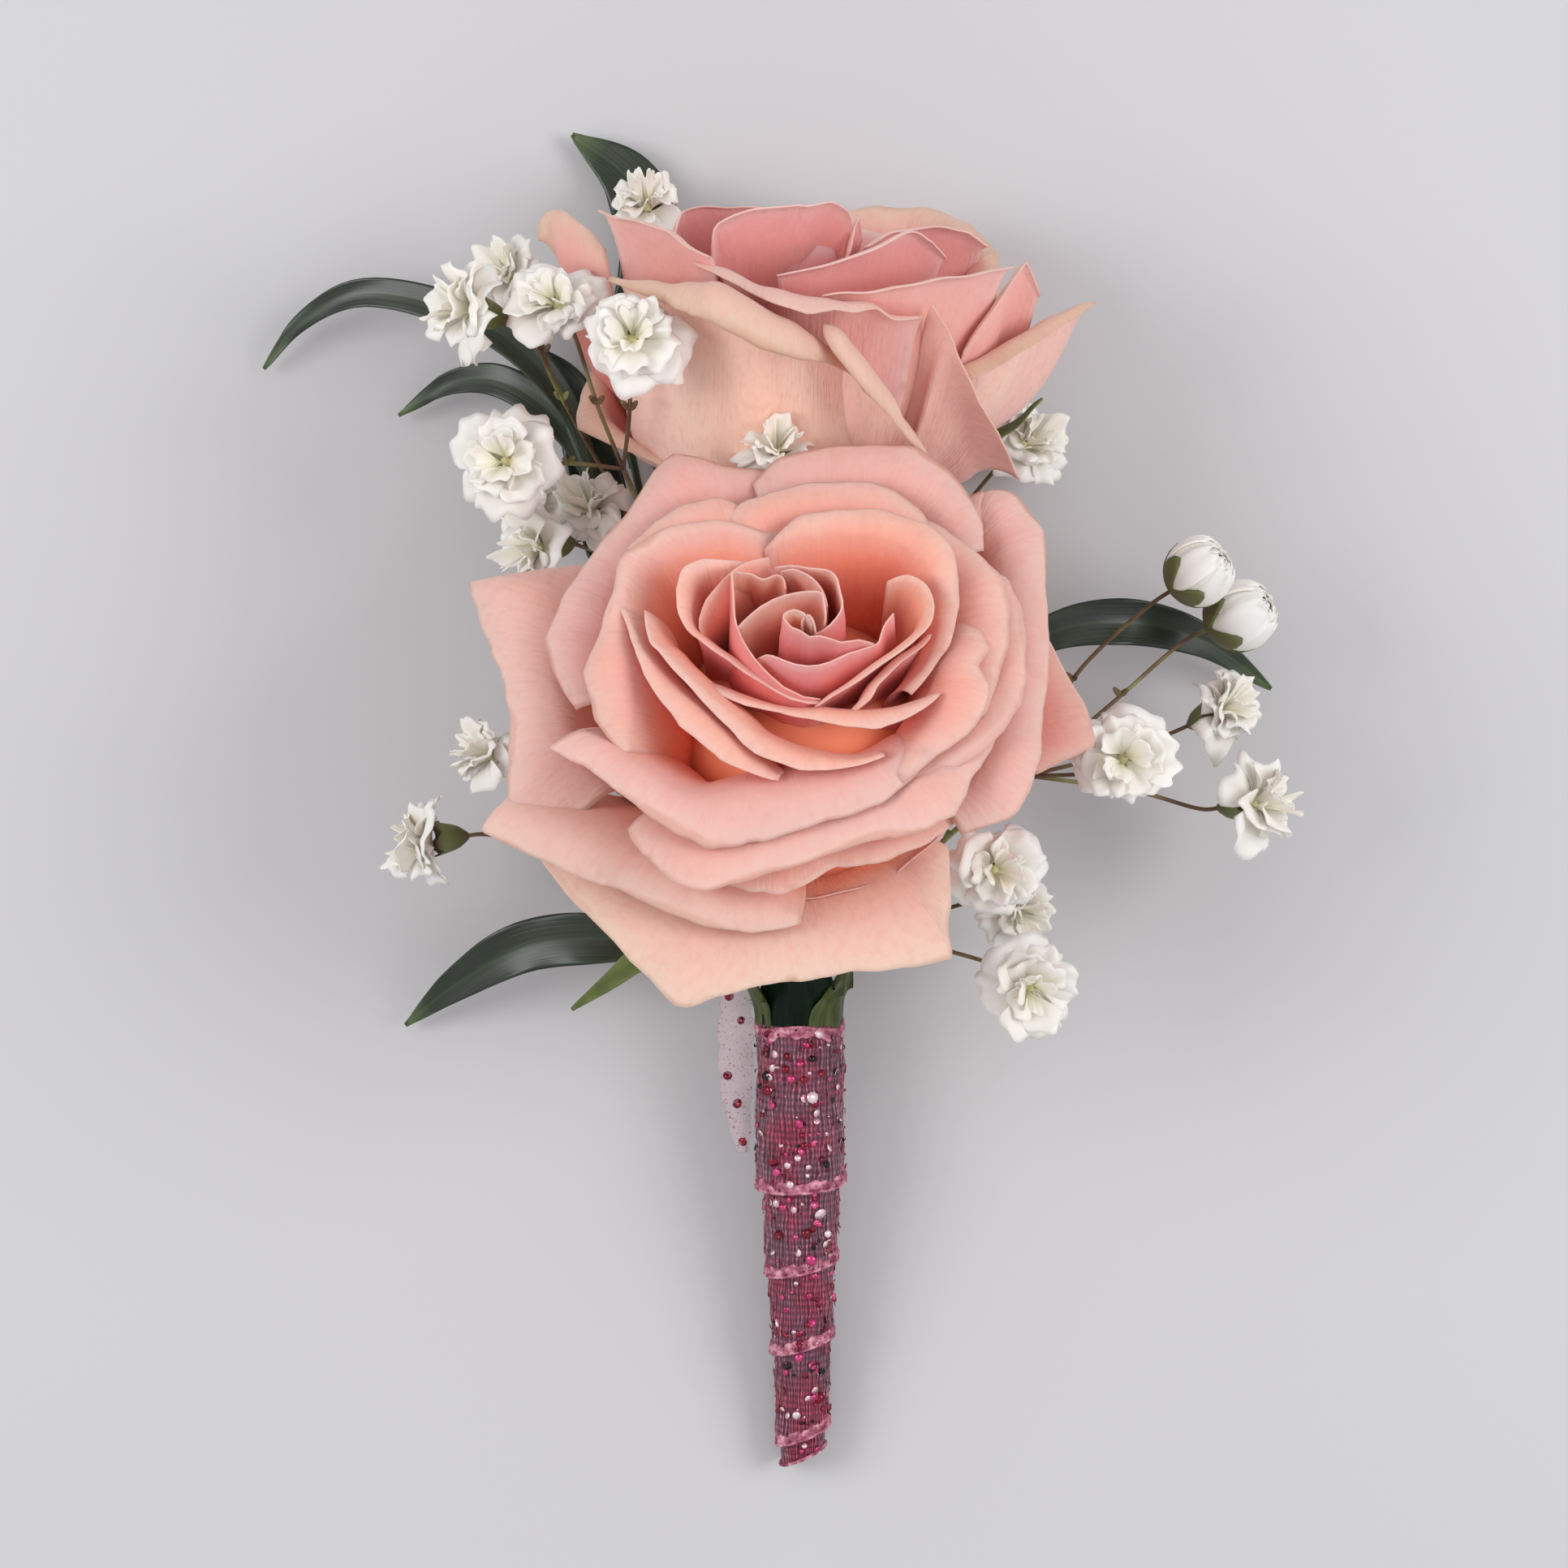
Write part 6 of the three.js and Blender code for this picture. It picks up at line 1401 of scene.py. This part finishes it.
def ribbon_finish():
    """Ribbed plum-pink net with crimson patches and fine stitches: painted light on the ribs, painted shade
    in the dark gaps.
    """
    finish, tree, shader = new_finish("plum_ribbon_mesh", 0.5, 0.4, Sheen_Weight=0.3)
    grain = mesh_value(tree, "grain", "Vector")
    split = add_node(tree, "ShaderNodeSeparateXYZ", {0: grain}).outputs
    stitch = maths(tree, "SINE", maths(tree, "MULTIPLY", split["Y"], 11.0))
    cloud = stretched_noise(tree, grain, (1.0, 1.0, 1.0), 0.6, 4.0)
    wander = maths(tree, "MULTIPLY", stretched_noise(tree, grain, (0.3, 0.5, 1.0), 1.0), 2.2)
    across = maths(tree, "MULTIPLY", maths(tree, "ADD", split["X"], wander), 2 * math.pi)
    fine = maths(tree, "MULTIPLY", maths(tree, "COSINE", across), 0.27)
    ribs = maths(tree, "ADD", maths(tree, "MULTIPLY", mesh_value(tree, "rib"), 0.35), fine)
    height = maths(tree, "ADD", maths(tree, "ADD", ribs, 0.3), maths(tree, "MULTIPLY", stitch, 0.12))
    # lit is painted light and shade: the rib tops are painted lighter and the gaps between them darker. The
    # gaps partly also stand for the dark stems under the net.
    lit = maths(tree, "MULTIPLY", height, maths(tree, "ADD", cloud, 0.45), True)
    dusky = colour_steps(tree, lit, [
        (0.05, (0.04, 0.011, 0.021)), (0.4, (0.12, 0.034, 0.062)), (0.75, (0.25, 0.08, 0.13)),
        (1.0, (0.56, 0.27, 0.35)),
    ])
    crimson = colour_steps(tree, lit, [
        (0.05, (0.06, 0.003, 0.012)), (0.5, (0.24, 0.012, 0.046)), (1.0, (0.56, 0.11, 0.21)),
    ])
    patch = past(tree, solid_cloud(tree, 330.0), 0.42, 5.0)
    cover(tree, shader, blended(tree, patch, dusky, crimson), height, 0.6)
    return finish


def thread_finish():
    """Bright pink twisted edge thread."""
    finish, tree, shader = new_finish("pink_selvage", 0.45)
    cloud = solid_cloud(tree, 1500.0)
    cover(tree, shader, colour_steps(tree, cloud, [
        (0.34, (0.20, 0.03, 0.07)), (0.5, (0.45, 0.13, 0.20)), (0.66, (0.74, 0.36, 0.44)),
    ]), cloud, 0.8, 0.0003)
    return finish


def sequin_finish(name, dark, light):
    """Lacquered foil: glossy, with a shade that changes a little from disc to disc."""
    finish, tree, shader = new_finish(name, 0.16, 0.6, Metallic=0.45)
    cover(tree, shader, colour_steps(tree, solid_cloud(tree, 500.0), [(0.35, dark), (0.65, light)]))
    return finish


ribbon_finishes = [
    ribbon_finish(), thread_finish(),
    sequin_finish("sequin_hot_pink", (0.55, 0.03, 0.16), (0.85, 0.12, 0.30)),
    # The pale foil reaches near white. This is partly the sequins' own pale pink and partly a painted glint.
    sequin_finish("sequin_pale_pink_painted_glint", (0.85, 0.50, 0.58), (0.98, 0.80, 0.84)),
    sequin_finish("sequin_deep_red", (0.14, 0.004, 0.015), (0.32, 0.01, 0.04)),
    sequin_finish("sequin_black", (0.006, 0.004, 0.006), (0.03, 0.015, 0.02)),
]
HOT, PALE, DEEP, BLACK = 2, 3, 4, 5
SEQUIN_FOILS = [HOT, HOT, PALE, PALE, DEEP, DEEP, DEEP, DEEP, BLACK, BLACK]
SEQUIN_SIZES = [0.09, 0.12, 0.14, 0.18, 0.26, 0.34]
SEQUINS_FOR_SIZE = 5.6
rng = np.random.default_rng(77)
ribbon = [ribbon_turn(turn) for turn in TURNS] + [selvage(turn) for turn in TURNS] + [selvage(TURNS[0], True)]
ribbon += [edge_band(turn) for turn in TURNS[:-1]] + [edge_band(TURNS[0], True)]
for turn in TURNS:
    for _ in range(int((turn["bottom"] - turn["top"]) * turn["wide"][0] * SEQUINS_FOR_SIZE)):
        angle = rng.uniform(0, 2 * np.pi)
        place, normal = on_turn(turn, rng.uniform(0.04, 0.95), angle, 0.13)
        foil = rng.choice(SEQUIN_FOILS)
        size = rng.choice(SEQUIN_SIZES) * rng.uniform(0.9, 1.1)
        ribbon.append(sequin(place, normal, size, rng, foil))
# The sequins that show best from above: x and y of the picture, radius, and which foil
WRAP_TOP_SEEN = (985, 1262)
WRAP_POINTS_PER_MM = 14.5
# The pale ones stand where bright glints show, so there their near-white foil is a painted glint.
SHOWN_SEQUINS = [
    (1008, 1269, 0.42, PALE), (1000, 1348, 0.52, PALE), (1005, 1368, 0.34, PALE), (975, 1325, 0.36, HOT),
    (953, 1360, 0.34, HOT), (984, 1381, 0.44, HOT), (1005, 1378, 0.3, PALE), (1020, 1413, 0.38, PALE),
    (983, 1423, 0.3, PALE), (971, 1433, 0.3, PALE), (974, 1457, 0.34, PALE), (958, 1443, 0.36, HOT),
    (1009, 1497, 0.55, PALE), (952, 1485, 0.3, PALE), (972, 1478, 0.3, HOT), (998, 1555, 0.52, HOT),
    (1018, 1524, 0.32, PALE), (961, 1639, 0.34, PALE), (1003, 1723, 0.34, PALE), (995, 1733, 0.3, PALE),
    (972, 1756, 0.32, PALE), (985, 1680, 0.42, HOT), (1003, 1577, 0.3, HOT), (987, 1415, 0.3, HOT),
    (950, 1271, 0.5, DEEP), (946, 1325, 0.44, BLACK), (947, 1343, 0.44, DEEP), (954, 1432, 0.46, DEEP),
    (960, 1525, 0.5, DEEP), (993, 1521, 0.44, DEEP), (1016, 1646, 0.46, DEEP), (984, 1666, 0.44, DEEP),
    (971, 1693, 0.46, BLACK), (1008, 1733, 0.48, DEEP), (956, 1576, 0.42, DEEP), (955, 1707, 0.4, DEEP),
]
for x, y, size, foil in SHOWN_SEQUINS:
    aside, down = ((seen - top) / WRAP_POINTS_PER_MM for seen, top in zip((x, y), WRAP_TOP_SEEN))
    turn = next(turn for turn in TURNS if turn["bottom"] >= down)
    share = (down - turn["top"]) / (turn["bottom"] - turn["top"])
    aside -= (WRAP_END[0] - WRAP_TOP[0]) * down / WRAP_LENGTH
    angle = math.acos(np.clip(aside / turn_radius(turn, share), -0.97, 0.97))
    ribbon.append(sequin(*on_turn(turn, share, angle, 0.2), size, rng, foil))
LOWEST = 0.03
for part in ribbon:
    part["points"] = np.maximum(part["points"], [-np.inf, -np.inf, LOWEST])
make_piece("ribbon_wound", ribbon, ribbon_finishes, ["ribbon_wrap"])

# Tulle flap. The loose end of a sheer net strip, caught under the first turn of ribbon and hanging free at
# its left, with a few dark sequins.
FLAP_SPINE = [(-5.3, 2.4, 8.6), (-5.4, -2, 8.2), (-5.3, -6.5, 7.2), (-4.8, -11.4, 6)]
FLAP_HALF_WIDTH = [1.35, 1.45, 1.25, 0.55]
FLAP_LENGTH = 14.2
FLAP_ROWS = 60
FLAP_COLUMNS = 15
# Down the flap, across it from -1 to 1, and radius
FLAP_SEQUINS = [(0.06, -0.3, 0.42), (0.22, 0.4, 0.36), (0.55, -0.5, 0.4), (0.72, 0.1, 0.44), (0.93, 0.2, 0.4)]


def tulle_finish():
    """Sheer pink net: fine threads with light showing between them, and a few dark flecks."""
    finish, tree, shader = new_finish("sheer_tulle", 0.5, 0.3)
    grain = mesh_value(tree, "grain", "Vector")
    split = add_node(tree, "ShaderNodeSeparateXYZ", {0: grain}).outputs
    threads = []
    for way in ("ADD", "SUBTRACT"):
        slanted = maths(tree, "MULTIPLY", maths(tree, way, split["X"], split["Y"]), 14.0)
        threads.append(maths(tree, "ABSOLUTE", maths(tree, "SINE", slanted)))
    net = maths(tree, "MULTIPLY", *threads)
    fleck = past(tree, stretched_noise(tree, grain, (1.0, 1.0, 1.0), 4.6, 1.0), 0.63, 9.0)
    thread = colour_steps(tree, net, [(0.1, (0.80, 0.62, 0.66)), (0.7, (0.66, 0.42, 0.48))])
    cover(tree, shader, blended(tree, fleck, thread, (0.30, 0.02, 0.06, 1)))
    veil = maths(tree, "SUBTRACT", 0.3, maths(tree, "MULTIPLY", net, 0.26), True)
    tree.links.new(maths(tree, "ADD", veil, fleck, True), shader.inputs["Alpha"])
    return finish


t = np.linspace(0, 1, FLAP_ROWS)
s = np.linspace(-1, 1, FLAP_COLUMNS)
half = along([[w] for w in FLAP_HALF_WIDTH], t) * (1 + 0.07 * np.sin(t * 31) + 0.05 * np.sin(t * 67))[:, None]
drop = 0.35 * np.abs(s)[None, :]**1.5 + 0.18 * np.sin(t * 19)[:, None] * s[None, :]**2
flap_grid = along(FLAP_SPINE, t)[:, None] + np.stack([half * s, 0 * half * s, -drop], -1)
weave = np.stack([half * s, FLAP_LENGTH * t[:, None] + 0 * half * s, 0 * half * s], -1)
flap_parts = [blade(flap_grid[:, ::-1], 0.12, grain=weave[:, ::-1])]
for share, side, size in FLAP_SEQUINS:
    row = int(share * (FLAP_ROWS - 1))
    column = int((side + 1) * (FLAP_COLUMNS - 1) / 2)
    place = flap_grid[row, column] + np.array([0, 0, 0.12])
    flap_parts.append(sequin(place, Z_AXIS, size, rng, 1))
make_piece("tulle_flap_net", flap_parts, [tulle_finish(), ribbon_finishes[DEEP]], ["tulle_flap"])

# Surface. The table top that the boutonniere lies on: plain, pale grey and matt, and much larger than the
# view. It is there for the picture only.
TABLE_REACH = 3.0
table_corners = [(x * TABLE_REACH, y * TABLE_REACH, 0) for x, y in ((-1, -1), (1, -1), (1, 1), (-1, 1))]
table_mesh = bpy.data.meshes.new("table_top")
table_mesh.from_pydata(table_corners, [], [(0, 1, 2, 3)])
table_finish, _, table_shader = new_finish("pale_table", 0.9, 0.1)
table_shader.inputs["Base Color"].default_value = (0.60, 0.59, 0.605, 1)
table_mesh.materials.append(table_finish)
table = bpy.data.objects.new("table_top", table_mesh)
bpy.context.collection.objects.link(table)

# Light. Two wide soft lamps at the left and right, held as high as they stand aside and turned in by 45
# degrees, and an even pale sky that keeps the shadows soft.
LAMP_SIZE = 0.28
LAMP_ASIDE = 0.36
LAMP_HEIGHT = 0.36
LAMP_TURN = math.radians(45)
for side, name, watts in ((-1, "left", 0.95), (1, "right", 1.05)):
    lamp = bpy.data.lights.new(f"soft_lamp_{name}", "AREA")
    lamp.energy = watts
    lamp.shape = "DISK"
    lamp.size = LAMP_SIZE
    holder = bpy.data.objects.new(lamp.name, lamp)
    holder.location = (side * LAMP_ASIDE, 0.06, LAMP_HEIGHT)
    holder.rotation_euler = (0, side * LAMP_TURN, 0)
    bpy.context.collection.objects.link(holder)
sky = bpy.data.worlds.new("pale_sky")
sky.use_nodes = True
background = sky.node_tree.nodes["Background"]
background.inputs["Color"].default_value = (0.97, 0.98, 1.0, 1)
background.inputs["Strength"].default_value = 0.64
bpy.context.scene.world = sky
bpy.context.scene.view_settings.view_transform = "Standard"

# Camera. At the eye that the petals were measured from, 420 mm over the surface, looking straight down. The
# frame takes in the same square as the picture.
camera_data = bpy.data.cameras.new("camera")
camera_data.sensor_width = 36
frame_width = 2 * PICTURE_MIDDLE / picture_scale(0)
camera_data.lens = camera_data.sensor_width * EYE[2] / frame_width
camera = bpy.data.objects.new("camera", camera_data)
camera.location = (EYE + TO_ORIGIN) * MM
bpy.context.collection.objects.link(camera)
bpy.context.scene.camera = camera
